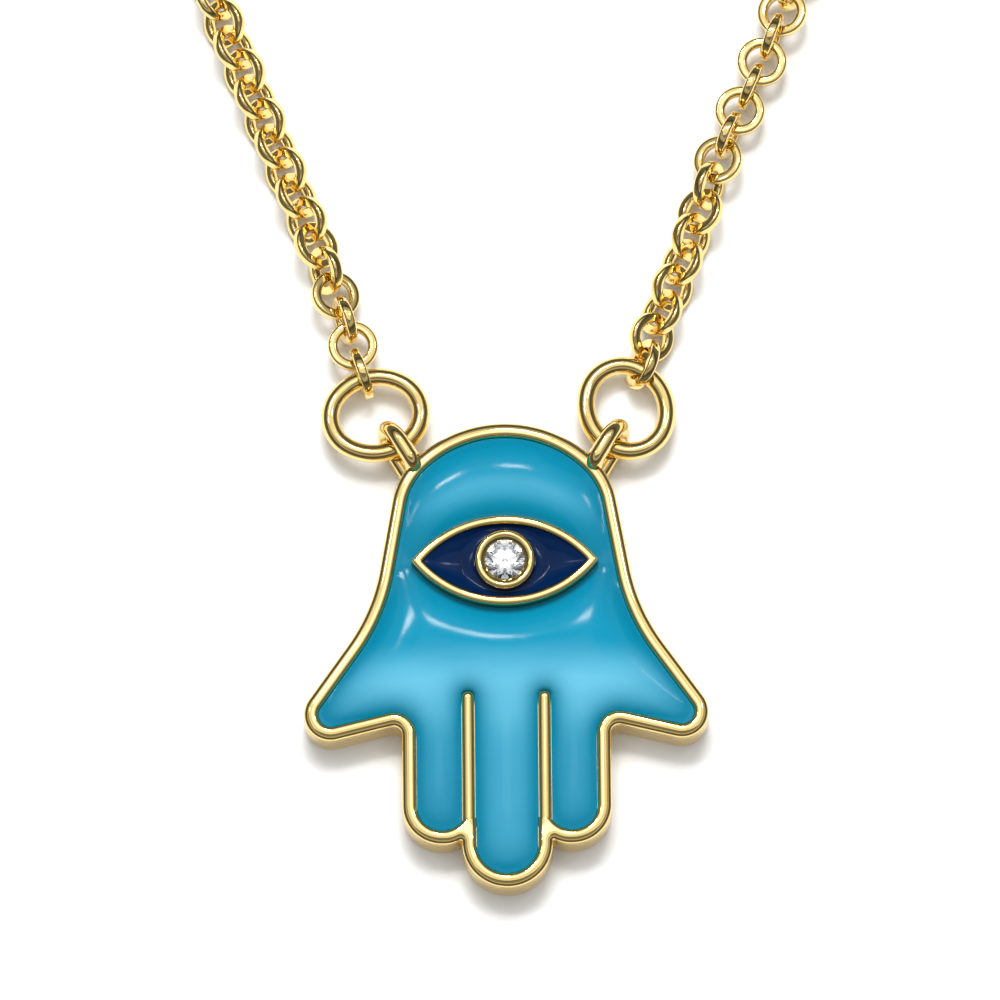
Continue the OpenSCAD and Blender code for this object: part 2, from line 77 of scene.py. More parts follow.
class HandSizes(bpy.types.PropertyGroup):
    """Sizes of the hand and of the gold that frames it."""

    width: length("Width", "Across the two thumb tips", 15.04)
    height: length("Height", "From the dome to the tip of the middle finger", 17.56)
    fingers: length("Fingers", "Width of the three fingers together", 7.74)
    middle_finger: length("Middle finger", "Width of the middle finger with its rims", 3.36)
    side_rise: length("Side fingers", "How far the side fingers end above the middle one", 1.63)
    side_tip: length("Side tips", "Rounding radius of the side fingers' tips", 1.47)
    rim: length("Rim width", "Width of the gold rim, seen from the front", 0.53)
    rim_height: length("Rim height", "Height of the rim above the surface it lies on", 1.75)
    rim_round: length("Rim rounding", "Width of the rounding of the rim's outer top edge", 0.31)
    inner_round: length("Inner rounding", "Width of the rounding of the rim's inner top edge", 0.17)
    round_drop: length("Rounding drop", "Height of the rim's roundings", 0.18)
    rib_crown: length("Rib crown", "Height of the ribs' rounded tops", 0.15)
    plate: length("Plate", "Thickness of the gold back plate", 0.7)
    rib: length("Rib width", "Width of the gold ribs between the fingers", 0.46)
    rib_top: length("Rib tops", "Height of the ribs' tops below the middle of the hand", 1.37)
    enamel_recess: length("Enamel recess", "Depth of the enamel's edge below the rim's top", 0.22)
    enamel_swell: length("Enamel swell", "Height that the enamel swells above its edge", 0.5)
    swell_reach: length("Swell reach", "Distance over which the enamel swells", 0.9)


class EyeSizes(bpy.types.PropertyGroup):
    """Sizes of the eye, its stone and the bezel round it."""

    width: length("Width", "From corner to corner", 6.92)
    height: length("Height", "Of the opening with its gold rim", 3.4)
    rim: length("Rim width", "Width of the eye's gold rim", 0.33)
    rim_round: length("Rim rounding", "Rounding of the eye rim's top edges", 0.125)
    rise: length("Rise", "How far the eye's rim stands above the hand's rim", 0.34)
    place: length("Place", "Height of the eye's middle above the middle of the hand", 3.49)
    iris: length("Iris", "Outer diameter of the domed iris in the enamel", 3.22)
    stone: length("Stone", "Diameter of the round stone", 1.64)
    bezel: length("Bezel", "Outer diameter of the bezel", 2.24)
    bezel_rise: length("Bezel rise", "How far the bezel stands above the hand's rim", 0.5)


class RingSizes(bpy.types.PropertyGroup):
    """Sizes of the two jump rings and of the lugs that they hang in."""

    ring_length: length("Ring length", "Outer length of an oval jump ring", 4.06)
    ring_width: length("Ring width", "Outer width of a jump ring", 3.62)
    wire: length("Ring wire", "Wire diameter of the jump rings", 0.68)
    lug_wire: length("Lug wire", "Wire diameter of the two lugs", 0.65)
    lug_gap: length("Lug gap", "Clearance of a jump ring's wire in its lug", 0.11)
    lug_reach: length("Lug reach", "How far the lugs' holes stand clear of the rim", 0.89)
    lug_height: length("Lug height", "Height of the lugs' middle above the surface", 1.1)
    lug_angle: turn("Lug angle", "Direction of the lugs from the hand's upright axis", 31.5)
    lug_lean: turn("Lug lean", "Lean of the lugs' loops, whose upper legs lie nearer to the middle", 11)
    lug_seat: turn("Lug seat", "Where the lugs meet the dome, from the upright axis", 47.5)


class ChainSizes(bpy.types.PropertyGroup):
    """Sizes of the cable chain and of its clasp."""

    link: length("Link", "Outer diameter of a link", 1.87)
    first_link: length("First link", "Outer diameter of the links that hold the jump rings", 1.99)
    band: length("Band width", "Width of a link's band, across the ring", 0.37)
    thickness: length("Band thickness", "Thickness of a link's band, along the ring's axis", 0.38)
    edge: length("Band edge", "Rounding of the band's edges", 0.11)
    gap: length("Gap", "Play between two neighbouring links", 0.1)
    loop: length("Loop radius", "Radius of the round part of the chain's loop", 46.4)
    loop_up: length("Loop place", "Distance of the loop's middle above the middle of the hand", 126.75)
    loop_aside: length("Loop aside", "Distance of the loop's middle beside the upright axis", 1.23)
    near_links: IntProperty(name="Near links", description="Finely made links of each strand",
                            default=15, min=1)
    barrel: length("Clasp", "Diameter of the barrel clasp", 2.0)
    barrel_length: length("Clasp length", "Length of the barrel clasp", 6.0)
    eye: length("Clasp eye", "Outer diameter of the clasp's eyes", 1.9)
    eye_wire: length("Clasp eye wire", "Wire diameter of the clasp's eyes", 0.4)


class Finishes(bpy.types.PropertyGroup):
    """Colours and gloss of the metals, the enamels and the stage."""

    gold: paint("Gold", "Colour of the yellow gold", 0.99, 0.73, 0.29)
    gold_gloss: share("Gold roughness", "Roughness of the polished gold", 0.06)
    satin_gloss: share("Satin roughness", "Roughness of the brushed side walls", 0.34)
    teal: paint("Teal enamel", "Colour of the hand's enamel where it swells", 0.0, 0.245, 0.395)
    # Painted shade: the hand's enamel is darker beside the gold, where it swells little
    shaded_teal: paint("Deep teal", "Colour of the hand's enamel beside the gold", 0.0, 0.17, 0.28)
    # Painted reflection: the hand's enamel is lighter on the lower palm, the fingers and in a highlight arc
    # above the eye
    sheen_teal: paint("Light teal", "Colour of the hand's enamel where it lies thin", 0.16, 0.53, 0.72)
    navy: paint("Navy enamel", "Colour of the eye's enamel", 0.0005, 0.013, 0.06)
    enamel_gloss: share("Enamel roughness", "Roughness of the fired enamel", 0.1)
    floor: paint("Floor", "Colour of the plain floor", 0.91, 0.91, 0.9)


class PendantSettings(bpy.types.PropertyGroup):
    """All sizes and finishes of the necklace."""

    hand: PointerProperty(type=HandSizes)
    eye: PointerProperty(type=EyeSizes)
    rings: PointerProperty(type=RingSizes)
    chain: PointerProperty(type=ChainSizes)
    finish: PointerProperty(type=Finishes)


def settings():
    return bpy.context.scene.pendant


# Outline of the hand

# Corners as shares of the half width and half height, as in the model's source
DOME = (0.260, 1.000)
SHOULDER = (0.531, 0.769)
FLARE = (0.655, 0.192)
FLARE_ROUND = 0.949
THUMB = (1.1755, -0.432)
THUMB_ROUND = 0.132
CROOK_Y = -0.2956
CROOK_ROUND = 0.04
NOTCH_ROUND = 0.05 * MM
BRIDGE_TURN = math.radians(60)
ARC_STEP = 0.1 * MM
FEWEST_ARC_STEPS = 6
TOUCHING = 0.01 * MM
ON_AXIS = 1e-6
RIB_SINK = 0.2 * MM


def unit(vector):
    return vector / np.linalg.norm(vector)


def corner_turn(before, corner, after):
    return math.acos(unit(corner - before) @ unit(after - corner))


def reach_radius(before, corner, after, reach):
    """Radius of the fillet that starts a given length before its corner."""
    return reach / math.tan(corner_turn(before, corner, after) / 2)


def fillet(before, corner, after, radius, inset):
    """Points of the arc that rounds a corner of a clockwise outline, moved inward by the inset."""
    along, away = unit(corner - before), unit(after - corner)
    bend = corner_turn(before, corner, after)
    side = 1 if along[0] * away[1] - along[1] * away[0] < 0 else -1
    right = np.array([along[1], -along[0]])
    middle = corner - along * radius * math.tan(bend / 2) + side * radius * right
    steps = max(FEWEST_ARC_STEPS, math.ceil(bend * radius / ARC_STEP))
    turns = -side * bend * np.arange(steps + 1) / steps
    spoke = -side * right
    arm = radius - side * inset
    return middle + arm * np.column_stack([spoke[0] * np.cos(turns) - spoke[1] * np.sin(turns),
                                           spoke[0] * np.sin(turns) + spoke[1] * np.cos(turns)])


def hand_corners(hand):
    """The corners of the right half of the outline from top to bottom, each with its fillet's radius."""
    half = np.array([hand.width / 2, hand.height / 2])
    fingers, middle = hand.fingers / 2, hand.middle_finger / 2
    side_bottom = -half[1] + hand.side_rise
    tip = hand.side_tip
    side_x = fingers - tip
    notch_turn = math.asin((side_x - middle) / tip)
    notch_y = side_bottom + tip - tip * math.cos(notch_turn)
    notch_fillet = tip - NOTCH_ROUND * math.tan((math.pi / 2 + notch_turn) / 2) / math.tan(notch_turn / 2)
    top, dome, shoulder = np.array([0, half[1]]), half * DOME, half * SHOULDER
    flare, thumb = half * FLARE, half * THUMB
    return [
        (top, 0),
        (dome, reach_radius(top, dome, shoulder, dome[0])),
        (shoulder, reach_radius(dome, shoulder, flare, np.linalg.norm(shoulder - dome) - dome[0])),
        (flare, FLARE_ROUND * half[0]),
        (thumb, THUMB_ROUND * half[0]),
        (np.array([fingers, CROOK_Y * half[1]]), CROOK_ROUND * half[0]),
        (np.array([fingers, side_bottom]), tip),
        (np.array([side_x - tip * math.tan(notch_turn / 2), side_bottom]), notch_fillet),
        (np.array([middle, notch_y]), NOTCH_ROUND),
        (np.array([middle, -half[1]]), middle),
        (np.array([0, -half[1]]), 0),
    ]


def half_outline(corners, inset):
    arcs = [fillet(corners[i - 1][0], corners[i][0], corners[i + 1][0], corners[i][1], inset)
            for i in range(1, len(corners) - 1)]
    joined = [arc[1:] if is_joined(arcs[i], arc) else arc for i, arc in enumerate(arcs[1:])]
    return np.vstack([arcs[0], *joined])


def is_joined(arc, following):
    return np.linalg.norm(arc[-1] - following[0]) < TOUCHING


def mirrored(half):
    inner = half[1:-1] if abs(half[-1][0]) < ON_AXIS else half[1:]
    return np.vstack([half, inner[::-1] * (-1, 1)])


def hand_outline(hand, inset=0.0):
    """The whole outline, clockwise from the top, moved inward by the inset."""
    return mirrored(half_outline(hand_corners(hand), inset))


def cell_outline(hand, inset):
    """The rim's inner outline, whose side fingers end in whole arcs that run in under the ribs."""
    corners = hand_corners(hand)
    middle = hand.middle_finger / 2
    tip, side_bottom = hand.side_tip, corners[6][0][1]
    side_x, side_y = hand.fingers / 2 - tip, side_bottom + tip
    bridge = np.array([side_x - tip * math.tan(BRIDGE_TURN / 2), side_bottom])
    beyond = bridge + 2 * tip * np.array([-math.cos(BRIDGE_TURN), math.sin(BRIDGE_TURN)])
    side_corners = [*corners[:7], (bridge, tip), (beyond, 0)]
    middle_corners = [(np.array([middle, side_y]), 0), *corners[9:]]
    step = [[middle - inset, side_y - (tip - inset) * math.cos(BRIDGE_TURN)]]
    return mirrored(np.vstack([half_outline(side_corners, inset), step, half_outline(middle_corners, inset)]))


def eye_arcs(eye, inset=0.0):
    """Radius of the eye's two arcs, how far their middles lie off its axis, and its half width."""
    radius = (eye.width**2 + eye.height**2) / (4 * eye.height)
    drop = radius - eye.height / 2
    return radius - inset, drop, math.sqrt((radius - inset) ** 2 - drop**2)


def eye_outline(eye, inset=0.0, steps=72):
    """Outline of the eye, clockwise from its left corner, moved inward by the inset."""
    radius, drop, half = eye_arcs(eye, inset)
    reach = math.asin(half / radius)
    turns = np.linspace(-reach, reach, steps + 1)
    upper = np.column_stack([radius * np.sin(turns), radius * np.cos(turns) - drop])
    lower = upper[1:-1][::-1] * (1, -1)
    return np.vstack([upper, lower]) + (0, eye.place)


def rib_outline(hand, side, grow=0.0, tip_steps=20):
    """Outline of one rib, clockwise, as a slot whose lower end runs into the rim."""
    x = side * (hand.middle_finger / 2 - hand.rim / 2)
    radius = hand.rib / 2 + grow
    top = -hand.rib_top - hand.rib / 2
    turns = np.linspace(math.pi, 0, tip_steps + 1)
    cap = np.column_stack([x + radius * np.cos(turns), top + radius * np.sin(turns)])
    foot = rib_foot(hand)
    return np.vstack([cap, [[x + radius, foot], [x - radius, foot]]])


def rib_foot(hand):
    """Height at which the ribs end, a little inside the rim."""
    side_y = -hand.height / 2 + hand.side_rise + hand.side_tip
    return side_y - (hand.side_tip - hand.rim) * math.cos(BRIDGE_TURN) - RIB_SINK


# Mesh helpers

PER_METRE = 1000.0
TWIN_DISTANCE = 1e-8
JOIN_EPSILON, CELL_EPSILON = 1e-7, 1e-6


def full_turn(steps):
    """Equal angles round a circle."""
    return np.arange(steps) * 2 * math.pi / steps


def merge_twins(mesh):
    """Joins points that lie on one another, where one skin runs into the next."""
    work = bmesh.new()
    work.from_mesh(mesh)
    bmesh.ops.remove_doubles(work, verts=work.verts, dist=TWIN_DISTANCE)
    work.to_mesh(mesh)
    work.free()


def place_piece(name, mesh, material, sharp, even=False):
    """An object at the origin from its mesh, smooth but for edges above the sharp angle."""
    mesh.shade_smooth()
    mesh.set_sharp_from_angle(angle=math.radians(sharp))
    mesh.materials.clear()
    mesh.materials.append(material)
    piece = bpy.data.objects.new(name, mesh)
    bpy.context.scene.collection.objects.link(piece)
    if even:
        weighted = piece.modifiers.new("even_shading", "WEIGHTED_NORMAL")
        weighted.keep_sharp = True
        weighted.weight = 100
    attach(piece, BODY)
    return piece


def new_piece(name, points, faces, material, sharp=40.0):
    """A piece from its points and faces, whose large faces lead its shading."""
    mesh = bpy.data.meshes.new(name)
    mesh.from_pydata([tuple(map(float, p)) for p in points], [], [tuple(map(int, f)) for f in faces])
    merge_twins(mesh)
    return place_piece(name, mesh, material, sharp, even=True)


def points_of(piece):
    return np.array([v.co for v in piece.data.vertices])


class Shell:
    """Collects points and faces of a piece made of several closed skins."""

    def __init__(self):
        self.points = []
        self.faces = []

    def add(self, points, faces):
        start = len(self.points)
        self.points.extend(points)
        self.faces.extend([[start + i for i in face] for face in faces])

    def loft(self, loops, cap_first=True, cap_last=True):
        """Skin over loops of equal length, clockwise from above where they go outward and up."""
        count, top = len(loops[0]), (len(loops) - 1) * len(loops[0])
        points = [point for loop in loops for point in loop]
        faces = [[low + i, low + (i + 1) % count, low + count + (i + 1) % count, low + count + i]
                 for low in range(0, top, count) for i in range(count)]
        if cap_first:
            faces.append(list(range(count))[::-1])
        if cap_last:
            faces.append([top + i for i in range(count)])
        self.add(points, [face[::-1] for face in faces])

    def join_flat(self, outer, inner):
        """Level face between two loops, of which one lies inside the other."""
        points = [*outer, *inner]
        count, inner_count = len(outer), len(inner)
        edges = [(i, (i + 1) % count) for i in range(count)]
        edges += [(count + i, count + (i + 1) % inner_count) for i in range(inner_count)]
        flat = [Vector((p[0] * PER_METRE, p[1] * PER_METRE)) for p in points]
        _, _, faces, origins, _, _ = delaunay_2d_cdt(flat, edges, [], 0, JOIN_EPSILON)
        loops = [np.array(outer)[:, :2], np.array(inner)[:, :2]]
        kept = [[origins[i][0] for i in face] for face in faces]
        middles = np.array([np.mean([points[i][:2] for i in face], 0) for face in kept])
        between = inside(middles, loops[0]) & ~inside(middles, loops[1])
        self.add(points, [upward(points, face) for face, keep in zip(kept, between) if keep])

    def sweep(self, path, radius, sides=24, closed=False):
        """Round wire along a path, with flat ends unless it is closed."""
        path = np.asarray(path, float)
        ahead = np.roll(path, -1, 0) - np.roll(path, 1, 0)
        if not closed:
            ahead[0], ahead[-1] = path[1] - path[0], path[-1] - path[-2]
        ahead /= np.linalg.norm(ahead, axis=1)[:, None]
        flat = unit(np.linalg.svd(path - path.mean(0))[2][2])
        across = np.cross(ahead, flat)
        turns = full_turn(sides)
        rings = [p + radius * (np.outer(np.cos(turns), flat) + np.outer(np.sin(turns), a))
                 for p, a in zip(path, across)]
        if closed:
            rings.append(rings[0])
        self.loft(rings, cap_first=not closed, cap_last=not closed)


def upward(points, face):
    """A face's corners in the order that makes it look up."""
    a, b, c = (points[i] for i in face[:3])
    turned = (b[0] - a[0]) * (c[1] - a[1]) - (b[1] - a[1]) * (c[0] - a[0]) > 0
    return face if turned else face[::-1]


def level(outline, height):
    """An outline at a height, as points."""
    return [(x, y, height) for x, y in outline]


def round_profile(radius, steps=6, drop=None):
    """Insets and drops of a rounded top edge from the wall to the top, as deep as wide unless told."""
    turns = np.linspace(0, math.pi / 2, steps + 1)
    return [(radius * (1 - math.cos(t)), (drop or radius) * (1 - math.sin(t))) for t in turns]


def spin(profile, middle, steps=96):
    """Loops of a round piece from its profile of radii and heights."""
    ways = [(math.cos(t), math.sin(t)) for t in -full_turn(steps)]
    return [[(middle[0] + r * x, middle[1] + r * y, z) for x, y in ways] for r, z in profile]


def mark(piece, name, values):
    """Stores one number for each point, which a material reads."""
    attribute = piece.data.attributes.new(name, "FLOAT", "POINT")
    attribute.data.foreach_set("value", np.asarray(values, np.float32))


# Shader helpers

class Value:
    """A shader socket on which Python's own operators build the Math nodes."""

    def __init__(self, shader, socket):
        self.shader = shader
        self.socket = socket

    def maths(self, operation, *others):
        node = self.shader.add("ShaderNodeMath", {"operation": operation}, [self, *others])
        return Value(self.shader, node.outputs[0])

    def __add__(self, other):
        return self.maths("ADD", other)

    def __radd__(self, other):
        return self + other

    def __mul__(self, other):
        return self.maths("MULTIPLY", other)

    def __rmul__(self, other):
        return self * other

    def __sub__(self, other):
        return self.maths("SUBTRACT", other)

    def __rsub__(self, other):
        node = self.shader.add("ShaderNodeMath", {"operation": "SUBTRACT"}, [other, self])
        return Value(self.shader, node.outputs[0])

    def clamp(self, low, high):
        return self.maths("MAXIMUM", low).maths("MINIMUM", high)


class Nodes:
    """A node tree that is built node by node."""

    def __init__(self, tree):
        self.tree = tree

    def add(self, kind, settings=None, inputs=None):
        """A node with its settings first and then its inputs, by place or by name, as values or links."""
        node = self.tree.nodes.new(kind)
        for name, value in (settings or {}).items():
            setattr(node, name, value)
        pairs = inputs.items() if isinstance(inputs, dict) else enumerate(inputs or [])
        for key, value in pairs:
            self.give(node.inputs[key], value)
        return node

    def give(self, socket, value):
        if isinstance(value, Value):
            value = value.socket
        if isinstance(value, bpy.types.NodeSocket):
            self.tree.links.new(value, socket)
        else:
            socket.default_value = value


class Shader(Nodes):
    """A material and its nodes."""

    def __init__(self, name):
        self.material = bpy.data.materials.new(name)
        self.material.use_nodes = True
        super().__init__(self.material.node_tree)
        self.tree.nodes.clear()

    def attribute(self, name):
        return Value(self, self.add("ShaderNodeAttribute", {"attribute_name": name}).outputs["Fac"])

    def noise(self, scale, detail, stretch=(1.0, 1.0, 1.0)):
        """Noise on the object's own coordinates, with its scale per millimetre."""
        place = self.add("ShaderNodeTexCoord").outputs["Object"]
        mapping = self.add("ShaderNodeMapping", None, {"Vector": place, "Scale": Vector(stretch) / MM})
        given = {"Vector": mapping.outputs[0], "Scale": scale, "Detail": detail}
        return Value(self, self.add("ShaderNodeTexNoise", None, given).outputs["Fac"])

    def bump(self, height, depth, strength):
        given = {"Height": height, "Distance": depth, "Strength": strength}
        return self.add("ShaderNodeBump", None, given).outputs[0]

    def mix(self, factor, first, second):
        node = self.add("ShaderNodeMix", {"data_type": "RGBA"}, {"Factor": factor, 6: first, 7: second})
        return node.outputs[2]

    def finish(self, **inputs):
        names = {key.replace("_", " ").title().replace("Ior", "IOR"): value for key, value in inputs.items()}
        surface = self.add("ShaderNodeBsdfPrincipled", None, names)
        self.add("ShaderNodeOutputMaterial", None, {"Surface": surface.outputs[0]})
        return self.material


def colour(value, gain=1.0):
    return tuple(min(1.0, c * gain) for c in value) + (1.0,)


# Random tones of the gold and the painted shade of its brushed side walls, as shares of its colour, and depths
# of the bumps
GOLD_SHADES = (0.93, 1.04)
SATIN_PAINTED_SHADE = 0.78
GOLD_DENTS, ENAMEL_WAVES = 0.006 * MM, 0.02 * MM
STONE_TINT = (0.62, 0.64, 0.66, 1)
STONE_BENDING = 2.42


def gold_material(name, with_satin_and_shade=False):
    finish = settings().finish
    shader = Shader(name)
    dark, bright = (colour(finish.gold, gain) for gain in GOLD_SHADES)
    base = shader.mix(shader.noise(scale=1.3, detail=3.0), dark, bright)
    rough = shader.noise(scale=9.0, detail=2.0) * 0.03 + (finish.gold_gloss - 0.015)
    height = shader.noise(scale=2.2, detail=2.0) * 0.6
    if with_satin_and_shade:
        satin_and_shade = shader.attribute("satin_and_shade")
        brushed = shader.noise(scale=6.0, detail=3.0, stretch=(0.25, 0.25, 5.0))
        # Painted shade: the brushed side walls get a darker gold, besides their real rougher, brushed finish
        base = shader.mix(satin_and_shade, base, colour(finish.gold, SATIN_PAINTED_SHADE))
        rough = rough + satin_and_shade * (finish.satin_gloss - finish.gold_gloss) * (brushed * 0.5 + 0.75)
        height = height + satin_and_shade * brushed * 0.5
    bump = shader.bump(height, GOLD_DENTS, strength=0.35)
    return shader.finish(base_color=base, metallic=1.0, roughness=rough, normal=bump)


def enamel_material(name, low_swell_colour, bright, painted_sheen, bending):
    """Glossy enamel whose colour follows its marks: darker where the swell is low, which on the hand is
    painted shade beside the gold, and lighter by the painted reflection mark.
    """
    shader = Shader(name)
    cloud = (shader.noise(scale=0.35, detail=3.0) - 0.5) * 0.3
    fullness = (shader.attribute("swell") + cloud).clamp(0.0, 1.0)
    painted_sheen_share = (shader.attribute("painted_sheen") * (cloud * 2.0 + 1.0)).clamp(0.0, 1.0)
    # Painted shade where the swell is low, and painted reflection where the painted sheen mark is high
    base = shader.mix(painted_sheen_share, shader.mix(fullness, colour(low_swell_colour), colour(bright)), colour(painted_sheen))
    gloss = settings().finish.enamel_gloss
    rough = shader.noise(scale=3.0, detail=3.0) * 0.05 + (gloss - 0.025)
    waves = shader.noise(scale=0.8, detail=2.0) + shader.noise(scale=6.0, detail=2.0) * 0.06
    bump = shader.bump(waves, ENAMEL_WAVES, strength=0.25)
    return shader.finish(base_color=base, roughness=rough, ior=bending, normal=bump)


def stone_material():
    return Shader("clear_stone").finish(base_color=STONE_TINT, roughness=0.0, ior=STONE_BENDING,
                                        transmission_weight=1.0)


# Gold frame

FOOT_EDGE = 0.05 * MM
# The ribs' tops below the rim's, and how far above the rim's edge their extra points lie
RIB_DROP, RIB_EXTRA = 0.006 * MM, 0.05 * MM
RIB_CROWN_SHARE = 0.97
BEZEL_ROUND = 0.15 * MM
STONE_PLAY = 0.02 * MM
# Width of the lip, its height and the girdle's depth, as shares of the stone's diameter
BEZEL_LIP, LIP_HEIGHT, GIRDLE_DEPTH = 0.05, 0.055, 0.13
# Points of the bezel's mouth: distance from the stone in lip widths, and drop
BEZEL_MOUTH = ((1.0, 0.01 * MM), (0.3, 0.04 * MM))
# Points of the pit under the stone: shares of its radius, and of its diameter below the girdle
STONE_PIT = ((0.7, 0.2), (0.3, 0.48))
# Steepest upward part of a brushed wall's normal, where the walls also get painted shade, and the circle and
# height that keep the lugs polished and unshaded
WALL_SLOPE = 0.35
LUG_ZONE_MIDDLE, LUG_ZONE_RADIUS, LUG_ZONE_FOOT = 4.16 * MM, 4.75 * MM, 5 * MM
# How deep the lugs' legs reach into the rim, where the upper one bends down and with what play
LEG_SINK, LEG_BEND, LEG_PLAY = 0.1 * MM, 0.35 * MM, 0.015 * MM


def wall_loops(outline, width, bottom, top, rounding):
    """Loops of a wall with rounded top edges from its outer foot over its top to its inner foot."""
    edge = round_profile(rounding)
    profile = [(0.0, bottom), *[(inset, top - drop) for inset, drop in edge]]
    profile += [*[(width - inset, top - drop) for inset, drop in edge[::-1]], (width, bottom)]
    return [level(outline(inset), height) for inset, height in profile]


class PENDANT_OT_gold_frame(bpy.types.Operator):
    """Build the gold tray with its rim, ribs, eye rim, bezel and lugs"""

    bl_idname = "pendant.gold_frame"
    bl_label = "Gold frame"

    def execute(self, context):
        hand, eye, rings = settings().hand, settings().eye, settings().rings
        shell = Shell()
        self.tray(shell, hand)
        self.eye_rim(shell, hand, eye)
        self.ribs(shell, hand)
        shell.loft(spin(self.bezel_profile(hand, eye), (0, eye.place)))
        for side in (-1, 1):
            shell.sweep(lug_path(hand, rings, side), rings.lug_wire / 2, sides=28)
        metal = gold_material("gold_frame_metal", True)
        piece = new_piece("gold_frame", shell.points, shell.faces, metal)
        self.mark_satin_and_shade(piece, hand)
        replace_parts(piece, "pendant_frame")
        return {"FINISHED"}

    def tray(self, shell, hand):
        edge = round_profile(hand.rim_round, 12, hand.round_drop)
        inner_edge = round_profile(hand.inner_round, 8, hand.round_drop)
        outer = [level(hand_outline(hand, FOOT_EDGE), 0.0), level(hand_outline(hand), FOOT_EDGE)]
        outer += [level(hand_outline(hand, inset), hand.rim_height - drop) for inset, drop in edge]
        inner = [level(cell_outline(hand, hand.rim - inset), hand.rim_height - drop)
                 for inset, drop in inner_edge[::-1]]
        inner.append(level(cell_outline(hand, hand.rim), hand.plate))
        shell.loft(outer, cap_last=False)
        shell.join_flat(outer[-1], inner[0])
        shell.loft(inner, cap_first=False)

    def eye_rim(self, shell, hand, eye):
        loops = wall_loops(lambda inset: eye_outline(eye, inset), eye.rim, hand.plate / 2,
                           hand.rim_height + eye.rise, eye.rim_round)
        shell.loft(loops + loops[:1], cap_first=False, cap_last=False)

    def ribs(self, shell, hand):
        top = hand.rim_height - RIB_DROP
        for side in (-1, 1):
            loops = [level(self.rib_loop(hand, side, 0.0), hand.plate / 2)]
            loops += [level(self.rib_loop(hand, side, -inset), top - drop)
                      for inset, drop in round_profile(hand.rib / 2 * RIB_CROWN_SHARE, 10, hand.rib_crown)]
            shell.loft(loops)

    def rib_loop(self, hand, side, grow):
        """A rib's outline with a point more on each long side, so that its end doesn't bend their shading."""
        outline = rib_outline(hand, side, grow)
        right, left = outline[-2], outline[-1]
        rise = np.array([0, RIB_SINK + RIB_EXTRA])
        return np.vstack([outline[:-2], [right + rise, right, left, left + rise]])

    def bezel_profile(self, hand, eye):
        """Radii and heights of the bezel, from its foot over its lip into the pit under the stone."""
        top = hand.rim_height + eye.bezel_rise
        outer, stone = eye.bezel / 2, eye.stone / 2
        lip = BEZEL_LIP * eye.stone
        girdle = top - GIRDLE_DEPTH * eye.stone
        return [(outer, hand.plate / 2),
                *[(outer - inset, top - drop) for inset, drop in round_profile(BEZEL_ROUND, 8)],
                *[(stone + widths * lip, top - drop) for widths, drop in BEZEL_MOUTH],
                (stone - lip, girdle + LIP_HEIGHT * eye.stone), (stone + STONE_PLAY, girdle),
                *[(stone * across, girdle - down * eye.stone) for across, down in STONE_PIT]]

    def mark_satin_and_shade(self, piece, hand):
        """The side walls below the rounded edges are brushed and get a painted shade, and the lugs are
        polished.
        """
        normals = np.array([v.normal for v in piece.data.vertices])
        points = points_of(piece)
        wall = np.abs(normals[:, 2]) < WALL_SLOPE
        wall &= points[:, 2] < hand.rim_height - hand.round_drop * 0.9
        lug = np.hypot(points[:, 0], points[:, 1] - LUG_ZONE_MIDDLE) > LUG_ZONE_RADIUS
        mark(piece, "satin_and_shade", wall & ~(lug & (points[:, 1] > LUG_ZONE_FOOT)))


def dome_fillet(hand):
    """Middle and radius of the dome's arc."""
    corners = hand_corners(hand)
    radius = corners[1][1]
    return hand.height / 2 - radius, radius


def lug_hole(hand, rings, side):
    """Middle of a lug's hole, seen from above."""
    middle, radius = dome_fillet(hand)
    foot = np.array([radius * math.sin(rings.lug_seat), middle + radius * math.cos(rings.lug_seat)])
    hole = foot + rings.lug_reach * np.array([math.sin(rings.lug_angle), math.cos(rings.lug_angle)])
    return hole * (side, 1)


def lug_path(hand, rings, side, steps=28):
    """A lug's wire: two legs and a leaning half circle, with the upper leg bent down into the rim."""
    radius = (rings.wire + rings.lug_wire) / 2 + rings.lug_gap
    leg = rings.lug_reach + LEG_SINK
    turns = np.linspace(-math.pi / 2, math.pi / 2, steps + 1)
    local = [(-leg, -radius, 0), *[(radius * math.cos(t), radius * math.sin(t), 0) for t in turns]]
    bend = rings.lug_wire / 2 + LEG_PLAY
    start = -leg + LEG_BEND
    local += [(start - bend * math.sin(t), radius - bend * (1 - math.cos(t)), 0)
              for t in np.linspace(0, math.pi / 2, 9)]
    hole = lug_hole(hand, rings, 1)
    matrix = (Matrix.Translation((hole[0], hole[1], rings.lug_height))
              @ Matrix.Rotation(math.pi / 2 - rings.lug_angle, 4, "Z")
              @ Matrix.Rotation(math.pi / 2 - rings.lug_lean, 4, "X"))
    points = [matrix @ Vector(p) for p in local]
    return [(side * p.x, p.y, p.z) for p in points]


# Enamels

SEAT_GAP = 0.012 * MM
HAND_STEP, EYE_STEP = 0.13 * MM, 0.06 * MM
# Free distance beside the outlines, as a share of the step
RIM_CLEARANCE = 0.45
HAND_BENDING, EYE_BENDING = 1.25, 1.22
# Shares of the swell over which the hand's painted shade beside the gold gives way to the full teal
SWELL_START, SWELL_FULL = 0.1, 0.72
MENISCUS_RISE, MENISCUS_REACH = 0.03 * MM, 0.07 * MM
# The eye's enamel: depth below its rim's top, reach and height of the rise towards the rim, and the iris
EYE_DEPTH, BOWL_REACH, BOWL_RISE = 0.5 * MM, 0.5 * MM, 0.38 * MM
IRIS_RISE, IRIS_POWER = 0.2 * MM, 0.8
BEZEL_BAND = 0.02 * MM
# Share of the navy's colour on the eye's enamel outside the iris dome, which is darker than on the dome
NAVY_OUTSIDE_SHARE = 0.6
